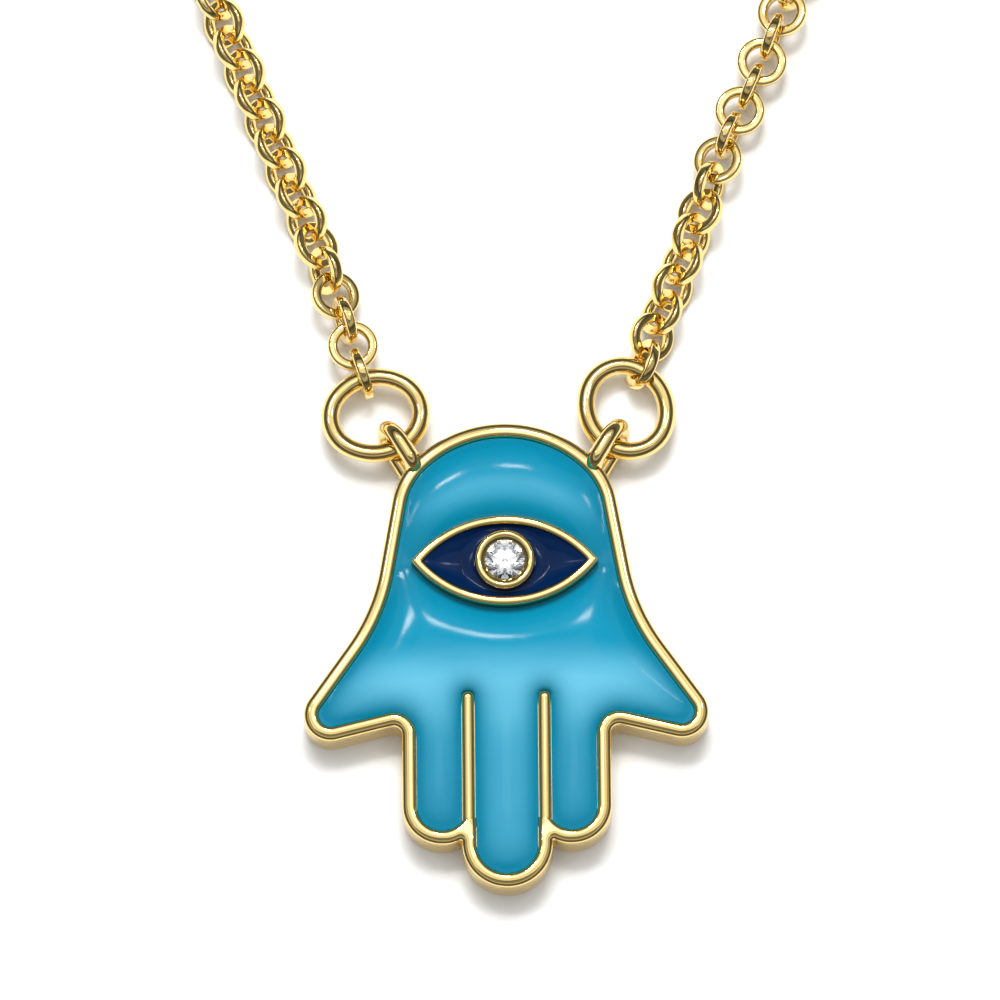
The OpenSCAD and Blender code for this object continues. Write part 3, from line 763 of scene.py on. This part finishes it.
# Heights in millimetres between which the painted reflection sets in, for the palm, the fingers and the
# painted highlight arc above the eye
PALM_SPAN, FINGER_SPAN, ARC_SPAN = (0.6, -1.2), (-2.0, -3.6), (4.0, 5.6)
# Strength of the painted reflection on the palm, how much of it the fingers lose, and of the painted highlight
# arc
PALM_SHEEN, FINGER_LOSS, ARC_HIGHLIGHT = 0.74, 0.34, 0.33
# Distance of the painted highlight arc's middle from the eye and its width, in millimetres
ARC_MIDDLE, ARC_WIDTH = 1.15, 0.5


def inside(points, outline):
    """Which points lie inside a closed outline."""
    x, y = points[:, 0][:, None], points[:, 1][:, None]
    a, b = outline, np.roll(outline, -1, 0)
    crosses = (a[:, 1] > y) != (b[:, 1] > y)
    with np.errstate(divide="ignore", invalid="ignore"):
        at = a[:, 0] + (y - a[:, 1]) * (b[:, 0] - a[:, 0]) / (b[:, 1] - a[:, 1])
    return (crosses & (x < at)).sum(1) % 2 == 1


def outline_distance(points, outline):
    """Distance of points from a closed outline."""
    a, b = outline, np.roll(outline, -1, 0)
    best = np.full(len(points), 1e9)
    for start, end in zip(a, b):
        along = end - start
        share_along = np.clip((points - start) @ along / (along @ along), 0, 1)
        best = np.minimum(best, np.linalg.norm(points - start - share_along[:, None] * along, axis=1))
    return best


class Cell:
    """A flat area between outlines, cut into small triangles, on which heights are worked out."""

    def __init__(self, outer, hole, step):
        self.loops = [outer, hole]
        low, high = outer.min(0), outer.max(0)
        rows = np.arange(low[1], high[1], step * math.sqrt(3) / 2)
        columns = np.arange(low[0], high[0], step)
        grid = np.array([(x + (k % 2) * step / 2, y) for k, y in enumerate(rows) for x in columns])
        grid = grid[self.holds(grid)]
        self.cut(grid[self.distance(grid) > step * RIM_CLEARANCE])

    def holds(self, points):
        return inside(points, self.loops[0]) & ~inside(points, self.loops[1])

    def distance(self, points):
        return np.min([outline_distance(points, loop) for loop in self.loops], 0)

    def cut(self, grid):
        points = np.vstack([*self.loops, grid])
        edges, start = [], 0
        for loop in self.loops:
            edges += [(start + i, start + (i + 1) % len(loop)) for i in range(len(loop))]
            start += len(loop)
        out = delaunay_2d_cdt([Vector(p * PER_METRE) for p in points], edges, [], 0, CELL_EPSILON)
        self.points = np.array([v[:] for v in out[0]]) / PER_METRE
        faces = np.array(out[2])
        middles = self.points[faces].mean(1)
        self.faces = faces[self.holds(middles)]
        edge_count = {}
        for face in self.faces:
            for i in range(3):
                key = tuple(sorted((face[i], face[(i + 1) % 3])))
                edge_count[key] = edge_count.get(key, 0) + 1
        self.rim_edges = [key for key, count in edge_count.items() if count == 1]
        self.on_rim = np.zeros(len(self.points), bool)
        for a, b in self.rim_edges:
            self.on_rim[[a, b]] = True

    def settle(self, reach, source, rim_values, rounds=900):
        """Solves how a skin settles between its rims: it follows the source beyond the reach."""
        p, f = self.points, self.faces
        count = len(p)
        mass, ends, weights = np.zeros(count), [], []
        for i in range(3):
            a, b, c = f[:, i], f[:, (i + 1) % 3], f[:, (i + 2) % 3]
            u, v = p[a] - p[c], p[b] - p[c]
            area2 = np.abs(u[:, 0] * v[:, 1] - u[:, 1] * v[:, 0])
            ends.append(np.column_stack([a, b]))
            weights.append(0.5 * (u * v).sum(1) / np.maximum(area2, 1e-18))
            np.add.at(mass, a, area2 / 6)
        ends, weights = np.vstack(ends), np.concatenate(weights)
        free = ~self.on_rim

        def push(x):
            flow = weights * (x[ends[:, 0]] - x[ends[:, 1]])
            out = mass * x
            out += reach**2 * (np.bincount(ends[:, 0], flow, count) - np.bincount(ends[:, 1], flow, count))
            return out

        x = np.where(free, source, rim_values).astype(float)
        residual = np.where(free, mass * source - push(x), 0.0)
        step_way = residual.copy()
        power = residual @ residual
        first = power
        for _ in range(rounds):
            if power <= first * 1e-14:
                break
            pushed = np.where(free, push(step_way), 0.0)
            stride = power / (step_way @ pushed)
            x += stride * step_way
            residual -= stride * pushed
            new_power = residual @ residual
            step_way = residual + new_power / power * step_way
            power = new_power
        return x

    def solid(self, heights, bottom):
        """Closed skin with the heights on top, walls on its rims and a flat bottom."""
        count = len(self.points)
        points = [(x, y, z) for (x, y), z in zip(self.points, heights)]
        points += [(x, y, bottom) for x, y in self.points]
        faces = []
        directed = set()
        for corners in self.faces:
            face = tuple(upward(self.points, corners))
            faces.append(face)
            faces.append(tuple(count + i for i in reversed(face)))
            directed.update([(face[0], face[1]), (face[1], face[2]), (face[2], face[0])])
        for a, b in self.rim_edges:
            a, b = (a, b) if (a, b) in directed else (b, a)
            faces.append((b, a, count + a, count + b))
        return points, faces


class PENDANT_OT_hand_enamel(bpy.types.Operator):
    """Fill the hand with swelling turquoise enamel"""

    bl_idname = "pendant.hand_enamel"
    bl_label = "Hand enamel"

    def execute(self, context):
        hand, eye, finish = settings().hand, settings().eye, settings().finish
        cell = Cell(self.outer_with_ribs(hand), eye_outline(eye, -SEAT_GAP), HAND_STEP)
        swell = cell.settle(hand.swell_reach, np.ones(len(cell.points)), np.zeros(len(cell.points)))
        edge = hand.rim_height - hand.enamel_recess
        meniscus = MENISCUS_RISE * np.exp(-cell.distance(cell.points) / MENISCUS_REACH)
        heights = edge + hand.enamel_swell * swell + meniscus
        points, faces = cell.solid(heights, hand.plate)
        material = enamel_material("turquoise_enamel", finish.shaded_teal, finish.teal, finish.sheen_teal,
                                   HAND_BENDING)
        piece = new_piece("turquoise_fill", points, faces, material, sharp=60)
        # The swell mark paints shade beside the gold, and the painted sheen mark paints reflection on the
        # palm, fingers and above the eye
        swollen = (points_of(piece)[:, 2] - edge) / hand.enamel_swell
        fullness = np.clip((swollen - SWELL_START) / (SWELL_FULL - SWELL_START), 0, 1)
        mark(piece, "swell", fullness)
        mark(piece, "painted_sheen", self.painted_sheen_share(piece, eye) * fullness)
        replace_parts(piece, "hand_enamel")
        return {"FINISHED"}

    def painted_sheen_share(self, piece, eye):
        """Painted reflection on the enamel: in the lower palm and the fingers, and a painted highlight arc
        above the eye.
        """
        places = points_of(piece)[:, :2] / MM
        palm, fingers, upper = (soft_step(places[:, 1], *span) for span in (PALM_SPAN, FINGER_SPAN, ARC_SPAN))
        from_eye = outline_distance(places * MM, eye_outline(eye)) / MM
        arc = np.exp(-((from_eye - ARC_MIDDLE) / ARC_WIDTH) ** 2) * upper
        return palm * (PALM_SHEEN - FINGER_LOSS * fingers) + ARC_HIGHLIGHT * arc

    def outer_with_ribs(self, hand):
        """The cell's outline with the two ribs as long notches in its lower edge."""
        outline = cell_outline(hand, hand.rim + SEAT_GAP)
        for side in (1, -1):
            outline = notch(outline, rib_outline(hand, side, SEAT_GAP))
        return outline


def soft_step(values, start, end):
    """Rises smoothly from 0 at the start to 1 at the end."""
    share_along = np.clip((values - start) / (end - start), 0, 1)
    return share_along**2 * (3 - 2 * share_along)


def notch(outline, slot):
    """Cuts a slot that crosses the outline's lower edge out of a clockwise outline."""
    left, right = slot[:, 0].min(), slot[:, 0].max()
    top_y = slot[:, 1].max()
    in_slot = (outline[:, 0] > left) & (outline[:, 0] < right) & (outline[:, 1] < top_y)
    index = np.flatnonzero(in_slot)
    before, after = outline[index[0] - 1], outline[(index[-1] + 1) % len(outline)]
    first, last = outline[index[0]], outline[index[-1]]

    def meet(a, b, x):
        share_along = (x - a[0]) / (b[0] - a[0])
        return np.array([x, a[1] + share_along * (b[1] - a[1])])

    path = slot[:-2][::-1] if before[0] > after[0] else slot[:-2]
    enter = meet(before, first, path[0][0])
    leave = meet(last, after, path[-1][0])
    return np.vstack([outline[:index[0]], [enter], path, [leave], outline[index[-1] + 1:]])


class PENDANT_OT_eye_enamel(bpy.types.Operator):
    """Fill the eye with navy enamel, domed over the iris"""

    bl_idname = "pendant.eye_enamel"
    bl_label = "Eye enamel"

    def execute(self, context):
        hand, eye, finish = settings().hand, settings().eye, settings().finish
        turns = -full_turn(96)
        bezel = np.column_stack([np.cos(turns), np.sin(turns)]) * (eye.bezel / 2 + SEAT_GAP) + (0, eye.place)
        cell = Cell(eye_outline(eye, eye.rim + SEAT_GAP), bezel, EYE_STEP)
        away = np.linalg.norm(cell.points - (0, eye.place), axis=1)
        on_bezel = away < eye.bezel / 2 + BEZEL_BAND
        bowl = cell.settle(BOWL_REACH, np.zeros(len(cell.points)), np.where(on_bezel, 0.0, 1.0))
        iris = eye.iris / 2
        dome = np.clip((iris - away) / (iris - eye.bezel / 2), 0, 1) ** IRIS_POWER
        bottom = hand.rim_height + eye.rise - EYE_DEPTH
        heights = bottom + BOWL_RISE * bowl * (1 - dome) + IRIS_RISE * dome
        points, faces = cell.solid(heights, hand.plate)
        # The eye's enamel is darker outside the iris dome, and carries no painted reflection
        low_swell_colour = colour(finish.navy, NAVY_OUTSIDE_SHARE)[:3]
        material = enamel_material("navy_enamel", low_swell_colour, finish.navy, finish.navy, EYE_BENDING)
        piece = new_piece("navy_fill", points, faces, material, sharp=60)
        tops = points_of(piece)[:, 2]
        mark(piece, "swell", np.clip((tops - bottom) / IRIS_RISE, 0, 1))
        mark(piece, "painted_sheen", np.zeros(len(tops)))
        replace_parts(piece, "eye_enamel")
        return {"FINISHED"}


class PENDANT_OT_stone(bpy.types.Operator):
    """Give the round stone its clear finish"""

    bl_idname = "pendant.stone"
    bl_label = "Stone"

    def execute(self, context):
        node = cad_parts["stone"]
        node.data.materials.clear()
        node.data.materials.append(stone_material())
        return {"FINISHED"}


# Jump rings

# Side, way from the lug to the ring's middle, turn of the long axis, tilts, and the strand's pull
LEFT_RING = {"side": -1, "direction": (-0.529, 0.849), "long_angle": 12.0, "tilt": (-3.0, 0.0),
             "pull": (-0.30, 0.954)}
RIGHT_RING = {"side": 1, "direction": (0.388, 0.922), "long_angle": 111.0, "tilt": (-4.0, 2.0),
              "pull": (0.359, 0.933)}


class Oval:
    """The centreline of a jump ring: four arcs."""

    def __init__(self, rings):
        self.long = (rings.ring_length - rings.wire) / 2
        self.short = (rings.ring_width - rings.wire) / 2
        self.end_r = self.short - 0.6 * (self.long - self.short)
        self.end_c = self.long - self.end_r
        self.side_r = (self.end_c**2 + self.short**2 - self.end_r**2) / (2 * (self.short - self.end_r))
        self.side_c = self.side_r - self.short
        turn_at = math.atan2(self.side_c, self.end_c)
        self.span = math.atan2(self.end_r * math.sin(turn_at), self.end_c + self.end_r * math.cos(turn_at))

    def reach(self, angle):
        """Distance of the centreline in a direction counted from the long axis."""
        x, y = abs(math.cos(angle)), abs(math.sin(angle))
        if math.atan2(y, x) < self.span:
            return self.end_c * x + math.sqrt(self.end_r**2 - (self.end_c * y) ** 2)
        return math.sqrt(self.side_r**2 - (self.side_c * x) ** 2) - self.side_c * y

    def toward(self, direction, long_angle):
        direction = unit(np.array(direction))
        return self.reach(math.atan2(direction[1], direction[0]) - math.radians(long_angle)) * direction


def ring_place(which):
    """Middle of a jump ring, its height and its tilt."""
    hand, rings = settings().hand, settings().rings
    oval = Oval(rings)
    step = oval.toward(which["direction"], which["long_angle"])
    middle = lug_hole(hand, rings, which["side"]) + step
    tilt = [math.radians(t) for t in which["tilt"]]
    drop = step[0] * math.sin(tilt[1]) - step[1] * math.sin(tilt[0]) * math.cos(tilt[1])
    return middle, rings.lug_height - drop, tilt


class PENDANT_OT_jump_rings(bpy.types.Operator):
    """Hang an oval jump ring in each lug"""

    bl_idname = "pendant.jump_rings"
    bl_label = "Jump rings"

    def execute(self, context):
        rings = settings().rings
        oval = Oval(rings)
        material = gold_material("ring_metal")
        for which, node in ((LEFT_RING, "jump_ring_left"), (RIGHT_RING, "jump_ring_right")):
            middle, height, tilt = ring_place(which)
            matrix = (Matrix.Translation((middle[0], middle[1], height))
                      @ Euler((tilt[0], tilt[1], 0)).to_matrix().to_4x4()
                      @ Matrix.Rotation(math.radians(which["long_angle"]), 4, "Z"))
            path = [matrix @ Vector((oval.reach(t) * math.cos(t), oval.reach(t) * math.sin(t), 0))
                    for t in full_turn(160)]
            shell = Shell()
            shell.sweep([p[:] for p in path], rings.wire / 2, sides=36, closed=True)
            piece = new_piece(node.replace("jump_", "oval_"), shell.points, shell.faces, material)
            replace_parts(piece, node)
        return {"FINISHED"}


# Chain

# Sideways sway of the first links and their lean, as in the model's source, lengths in millimetres
SWAY = {-1: [(0, 0), (2.2, -0.14), (6, -0.18), (10, -0.09), (14, 0)],
        1: [(0, 0), (1.2, -0.09), (4, -0.05), (8.6, -0.2), (13, 0)]}
LEAN = {-1: [0, 4, 11, 20, 29, 37, 43, 45],
        1: [-65, -53, -45, -45, -44, -40, -34, -26, -17, -8, -2, 0, 0, -4, -12, -22, -32, -40, -45]}
RING_PLAY = 0.07 * MM
SECOND_PLAY = 0.05 * MM
LINK_SHARP = 50
NEAR_STEPS = {"Steps round": 48, "Edge steps": 4}
FAR_STEPS = {"Steps round": 14, "Edge steps": 1}
BARREL_ROUND = 0.2 * MM
# Places along the clasp and depths of the points of its groove
GROOVE = ((-0.12 * MM, 0.0), (-0.04 * MM, 0.07 * MM), (0.04 * MM, 0.07 * MM), (0.12 * MM, 0.0))


class Strand:
    """One strand of the chain from its jump ring to the clasp."""

    def __init__(self, side):
        self.side = side
        self.chain = chain = settings().chain
        which = LEFT_RING if side < 0 else RIGHT_RING
        rings = settings().rings
        middle, _, _ = ring_place(which)
        lead = chain.first_link / 2 - chain.band - rings.wire / 2 - RING_PLAY
        self.first_step = rings.wire / 2 + SECOND_PLAY + chain.link / 2 - lead
        pull = unit(np.array(which["pull"]))
        self.start = middle + Oval(rings).toward(pull, which["long_angle"]) + lead * pull
        to_x, to_y = side * (chain.loop_aside - self.start[0]), chain.loop_up - self.start[1]
        far = math.hypot(to_x, to_y)
        self.heading = math.asin(chain.loop / far) - math.atan2(-to_x, to_y)
        self.straight = math.sqrt(far**2 - chain.loop**2)
        eye_r = (chain.eye - chain.eye_wire) / 2
        self.clasp_turn = math.asin((chain.barrel_length / 2 + eye_r) / chain.loop)
        self.total = self.straight + chain.loop * (math.pi / 2 + self.heading - self.clasp_turn)
        hook = chain.link / 2 - chain.band + chain.eye / 2 - chain.eye_wire - chain.gap
        longest = chain.link - 2 * chain.band - chain.gap
        self.count = 2 + math.ceil((self.total - self.first_step - hook) / longest)
        self.pitch = (self.total - self.first_step - hook) / (self.count - 2)

    def sway(self, s):
        table = SWAY[self.side]
        return MM * float(np.interp(s / MM, [t[0] for t in table], [t[1] for t in table]))

    def at(self, s):
        """Place and direction angle at a length along the strand."""
        loop, h = self.chain.loop, self.heading
        a = h - max(0.0, s - self.straight) / loop
        line = min(s, self.straight)
        x = line * math.sin(h) + self.sway(s) * math.cos(h) + loop * (math.cos(a) - math.cos(h))
        y = line * math.cos(h) - self.sway(s) * math.sin(h) + loop * (math.sin(h) - math.sin(a))
        turned = math.atan2(self.sway(s + 0.5 * MM) - self.sway(s - 0.5 * MM), MM)
        return self.start[0] + self.side * x, self.start[1] + y, self.side * (a + turned)

    def roll(self, i):
        table = LEAN[self.side]
        lean = table[min(i, len(table) - 1)]
        upright = i % 2 == 0 if self.side < 0 else i % 2 == 1
        return math.radians((90 if upright else 0) + lean)

    def rest(self, roll, size):
        """Height of a link's middle above the surface."""
        chain = self.chain
        a, b = abs(math.sin(roll)), abs(math.cos(roll))
        return (chain.edge / 2 + (size - chain.edge) / 2 * max(a, b)
                + (chain.thickness - chain.edge) / 2 * min(a, b))

    def links(self, first, last):
        """Places and turns of the links from one number to another."""
        places, turns = [], []
        for i in range(first, last):
            x, y, angle = self.at(self.first_step + (i - 1) * self.pitch if i else 0.0)
            roll = self.roll(i)
            size = self.chain.link if i else self.chain.first_link
            places.append((x, y, self.rest(roll, size)))
            turns.append((0.0, roll, -angle))
        return places, turns


class Tree(Nodes):
    """A geometry node tree with named inputs."""

    def __init__(self, name, sizes):
        super().__init__(bpy.data.node_groups.new(name, "GeometryNodeTree"))
        interface = self.tree.interface
        interface.new_socket("Geometry", in_out="INPUT", socket_type="NodeSocketGeometry")
        for label, kind, value in sizes:
            interface.new_socket(label, in_out="INPUT", socket_type=kind).default_value = value
        interface.new_socket("Geometry", in_out="OUTPUT", socket_type="NodeSocketGeometry")
        self.inputs = self.add("NodeGroupInput").outputs

    def input_key(self, label):
        found = [item for item in self.tree.interface.items_tree
                 if item.item_type == "SOCKET" and item.in_out == "INPUT" and item.name == label]
        return found[0].identifier


def link_tree(chain, material):
    """Node tree that sets a ring-shaped link with a rounded square band on every point."""
    tree = Tree("cable_links", [
        ("Link radius", "NodeSocketFloat", (chain.link - chain.band) / 2),
        ("Band width", "NodeSocketFloat", chain.band),
        ("Band thickness", "NodeSocketFloat", chain.thickness),
        ("Edge", "NodeSocketFloat", chain.edge),
        ("Steps round", "NodeSocketInt", 48),
        ("Edge steps", "NodeSocketInt", 3),
    ])
    given = tree.inputs

    def output(kind, settings, wanted, **inputs):
        named = {name.replace("_", " "): value for name, value in inputs.items()}
        return tree.add(kind, settings, named).outputs[wanted]

    ring = output("GeometryNodeCurvePrimitiveCircle", {"mode": "RADIUS"}, "Curve",
                  Resolution=given["Steps round"], Radius=given["Link radius"])
    band = output("GeometryNodeCurvePrimitiveQuadrilateral", {"mode": "RECTANGLE"}, "Curve",
                  Width=given["Band width"], Height=given["Band thickness"])
    rounded = output("GeometryNodeFilletCurve", {"mode": "POLY"}, "Curve",
                     Curve=band, Radius=given["Edge"], Count=given["Edge steps"])
    link = output("GeometryNodeCurveToMesh", None, "Mesh", Curve=ring, Profile_Curve=rounded)
    turned = output("GeometryNodeInputNamedAttribute", {"data_type": "FLOAT_VECTOR"}, "Attribute",
                    Name="turn")
    rotation = output("FunctionNodeEulerToRotation", None, "Rotation", Euler=turned)
    placed = output("GeometryNodeInstanceOnPoints", None, "Instances",
                    Points=given["Geometry"], Instance=link, Rotation=rotation)
    real = output("GeometryNodeRealizeInstances", None, "Geometry", Geometry=placed)
    coloured = output("GeometryNodeSetMaterial", None, "Geometry", Geometry=real, Material=material)
    tree.add("NodeGroupOutput", None, [coloured])
    return tree


def link_mesh(places, turns, tree, sizes):
    """A plain mesh of links, one on each place."""
    mesh = bpy.data.meshes.new("link_places")
    mesh.from_pydata(places, [], [])
    mesh.attributes.new("turn", "FLOAT_VECTOR", "POINT").data.foreach_set("vector", np.ravel(turns))
    carrier = bpy.data.objects.new("link_places", mesh)
    bpy.context.scene.collection.objects.link(carrier)
    modifier = carrier.modifiers.new("links", "NODES")
    modifier.node_group = tree.tree
    for label, value in sizes.items():
        modifier[tree.input_key(label)] = value
    bpy.context.view_layer.update()
    depsgraph = bpy.context.evaluated_depsgraph_get()
    plain = bpy.data.meshes.new_from_object(carrier.evaluated_get(depsgraph))
    bpy.data.objects.remove(carrier)
    for attribute in [a for a in plain.attributes if a.name == "turn"]:
        plain.attributes.remove(attribute)
    return plain


def string_links(name, meshes, material):
    """One piece from meshes of links."""
    work = bmesh.new()
    for mesh in meshes:
        work.from_mesh(mesh)
    plain = meshes[0]
    plain.name = name
    for face in work.faces:
        face.material_index = 0
    work.to_mesh(plain)
    work.free()
    return place_piece(name, plain, material, LINK_SHARP)


class PENDANT_OT_chain(bpy.types.Operator):
    """String the links of both strands"""

    bl_idname = "pendant.chain"
    bl_label = "Cable chain"

    def execute(self, context):
        chain = settings().chain
        material = gold_material("chain_metal")
        tree = link_tree(chain, material)
        for side, word in ((-1, "left"), (1, "right")):
            strand = Strand(side)
            near = chain.near_links
            wide = {**NEAR_STEPS, "Link radius": (chain.first_link - chain.band) / 2}
            first = link_mesh(*strand.links(0, 1), tree, wide)
            others = link_mesh(*strand.links(1, near), tree, NEAR_STEPS)
            far = link_mesh(*strand.links(near, strand.count), tree, FAR_STEPS)
            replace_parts(string_links(f"near_links_{word}", [others, first], material), f"chain_front_{word}")
            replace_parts(string_links(f"far_links_{word}", [far], material), f"chain_back_{word}")
        return {"FINISHED"}


class PENDANT_OT_clasp(bpy.types.Operator):
    """Close the chain with a plain barrel clasp"""

    bl_idname = "pendant.clasp"
    bl_label = "Clasp"

    def execute(self, context):
        chain = settings().chain
        eye_r = (chain.eye - chain.eye_wire) / 2
        middle_y = chain.loop_up + chain.loop * math.cos(Strand(1).clasp_turn)
        shell = Shell()
        half, radius = chain.barrel_length / 2, chain.barrel / 2
        profile = [(radius - inset, half - drop) for inset, drop in round_profile(BARREL_ROUND)]
        groove = [(radius - depth, place) for place, depth in GROOVE]
        stations = [(r, -z) for r, z in profile[::-1]] + groove + profile
        ways = [(math.cos(t), math.sin(t)) for t in full_turn(64)]
        shell.loft([[(chain.loop_aside + z, middle_y + r * x, radius + r * y) for x, y in ways]
                    for r, z in stations][::-1])
        for side in (-1, 1):
            strand = Strand(side)
            roll = strand.roll(strand.count) * (1 if side < 0 else -1)
            height = eye_r * abs(math.sin(roll)) + chain.eye_wire / 2
            middle = Vector((chain.loop_aside + side * (half + eye_r), middle_y, height))
            matrix = Matrix.Translation(middle) @ Matrix.Rotation(roll, 4, "X")
            path = [(matrix @ Vector((eye_r * x, eye_r * y, 0)))[:] for x, y in ways]
            shell.sweep(path, chain.eye_wire / 2, sides=20, closed=True)
        piece = new_piece("barrel_clasp", shell.points, shell.faces, gold_material("clasp_metal"))
        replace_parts(piece, "clasp")
        return {"FINISHED"}


# Stage

PHOTO_SPAN = 37.04 * MM
CAMERA_DISTANCE = 600 * MM
CAMERA_ELEVATION = 77.0
CAMERA_ROLL = -0.56
LOOK_AT = (-0.155 * MM, 5.83 * MM, 1.75 * MM)
SENSOR = 36.0
CLIP_NEAR, CLIP_FAR = 0.005, 20.0
FLOOR_HALF = 3.0
FLOOR_ROUGHNESS = 0.75
LAMP_DISTANCE = 0.6
# Name, azimuth with 180 at the chain, tilt from overhead, width, height, brightness, seen in reflections
LAMPS = [
    ("overhead_panel", 180, 12, 56, 44, 0.72, True),
    ("panel_core", 180, 13, 12, 9, 1.3, True),
    ("fill_panel", 0, 0, 70, 70, 0.75, False),
    ("key_panel", 180, 31, 22, 22, 15.5, False),
    ("top_strip", 176, 25, 5, 3, 34.0, True),
    ("upper_left_strip", 207, 26, 7, 3, 44.0, True),
    ("right_strip", 129, 28, 4, 5, 16.0, True),
    ("left_strip", 237, 31, 4, 4, 10.0, True),
]
# Brightness of the room by the height of the direction, from the horizon to overhead
ROOM = [(0.0, 0.15), (0.3, 0.14), (0.52, 0.06), (0.6, 0.08),
        (0.7, 0.45), (0.82, 0.45), (0.87, 0.2), (1.0, 0.2)]


def lamp(name, azimuth, tilt, width, height, brightness, shown):
    """An area light that looks at the pendant, with its size and brightness as seen from there."""
    light = bpy.data.lights.new(name, "AREA")
    light.shape = "RECTANGLE"
    light.size, light.size_y = (2 * LAMP_DISTANCE * math.tan(math.radians(a / 2)) for a in (width, height))
    light.energy = brightness * math.pi * light.size * light.size_y
    carrier = bpy.data.objects.new(name, light)
    a, t = math.radians(azimuth), math.radians(tilt)
    away = Vector((math.sin(a) * math.sin(t), -math.cos(a) * math.sin(t), math.cos(t)))
    carrier.location = Vector(LOOK_AT) + away * LAMP_DISTANCE
    carrier.rotation_euler = away.to_track_quat("Z", "Y").to_euler()
    carrier.visible_glossy = shown
    bpy.context.scene.collection.objects.link(carrier)


class PENDANT_OT_stage(bpy.types.Operator):
    """Set the floor, the lights and the camera"""

    bl_idname = "pendant.stage"
    bl_label = "Stage"

    def execute(self, context):
        self.floor()
        self.lights()
        self.camera()
        return {"FINISHED"}

    def floor(self):
        finish = settings().finish
        shader = Shader("floor_paper")
        tone = shader.noise(scale=0.02, detail=2.0)
        base = shader.mix(tone, colour(finish.floor), colour(finish.floor, 0.985))
        mesh = bpy.data.meshes.new("floor")
        corners = [(x * FLOOR_HALF, y * FLOOR_HALF, 0) for x, y in ((-1, -1), (1, -1), (1, 1), (-1, 1))]
        mesh.from_pydata(corners, [], [(0, 1, 2, 3)])
        mesh.materials.append(shader.finish(base_color=base, roughness=FLOOR_ROUGHNESS))
        floor = bpy.data.objects.new("floor", mesh)
        bpy.context.scene.collection.objects.link(floor)

    def lights(self):
        for row in LAMPS:
            lamp(*row)
        world = bpy.data.worlds.new("studio")
        world.use_nodes = True
        sky = Nodes(world.node_tree)
        way = sky.add("ShaderNodeTexCoord").outputs["Generated"]
        height = sky.add("ShaderNodeSeparateXYZ", None, [way]).outputs["Z"]
        ramp = sky.add("ShaderNodeValToRGB", None, [height])
        elements = ramp.color_ramp.elements
        while len(elements) < len(ROOM):
            elements.new(0.5)
        for element, (place, brightness) in zip(elements, ROOM):
            element.position = place
            element.color = (brightness, brightness, brightness, 1.0)
        sky.give(sky.tree.nodes["Background"].inputs["Color"], ramp.outputs[0])
        bpy.context.scene.world = world
        bpy.context.scene.view_settings.view_transform = "Standard"

    def camera(self):
        lens = bpy.data.cameras.new("photo_camera")
        lens.sensor_width = SENSOR
        lens.lens = SENSOR * CAMERA_DISTANCE / PHOTO_SPAN
        lens.clip_start, lens.clip_end = CLIP_NEAR, CLIP_FAR
        camera = bpy.data.objects.new("photo_camera", lens)
        e = math.radians(CAMERA_ELEVATION)
        away = Vector((0, -math.cos(e), math.sin(e)))
        camera.location = Vector(LOOK_AT) + away * CAMERA_DISTANCE
        aim = away.to_track_quat("Z", "Y").to_matrix().to_4x4()
        camera.rotation_euler = (aim @ Matrix.Rotation(math.radians(CAMERA_ROLL), 4, "Z")).to_euler()
        bpy.context.scene.collection.objects.link(camera)
        bpy.context.scene.camera = camera


OPERATORS = (PENDANT_OT_stage, PENDANT_OT_gold_frame, PENDANT_OT_hand_enamel, PENDANT_OT_eye_enamel,
             PENDANT_OT_stone, PENDANT_OT_jump_rings, PENDANT_OT_chain, PENDANT_OT_clasp)


class PENDANT_PT_pieces(bpy.types.Panel):
    """Lists the necklace's pieces and their sizes"""

    bl_label = "Hamsa pendant"
    bl_space_type = "VIEW_3D"
    bl_region_type = "UI"
    bl_category = "Pendant"

    def draw(self, context):
        pendant = context.scene.pendant
        for group in ("hand", "eye", "rings", "chain", "finish"):
            box = self.layout.box()
            box.label(text=group.title())
            values = getattr(pendant, group)
            for name in values.bl_rna.properties.keys():
                if name not in ("rna_type", "name"):
                    box.prop(values, name)
        for operator in OPERATORS:
            self.layout.operator(operator.bl_idname)


CLASSES = (HandSizes, EyeSizes, RingSizes, ChainSizes, Finishes, PendantSettings, *OPERATORS,
           PENDANT_PT_pieces)


def register():
    for cls in CLASSES:
        bpy.utils.register_class(cls)
    bpy.types.Scene.pendant = PointerProperty(type=PendantSettings)


def unregister():
    del bpy.types.Scene.pendant
    for cls in reversed(CLASSES):
        bpy.utils.unregister_class(cls)


def main():
    register()
    for operator in OPERATORS:
        group, name = operator.bl_idname.split(".")
        getattr(getattr(bpy.ops, group), name)()


if __name__ == "__main__":
    main()
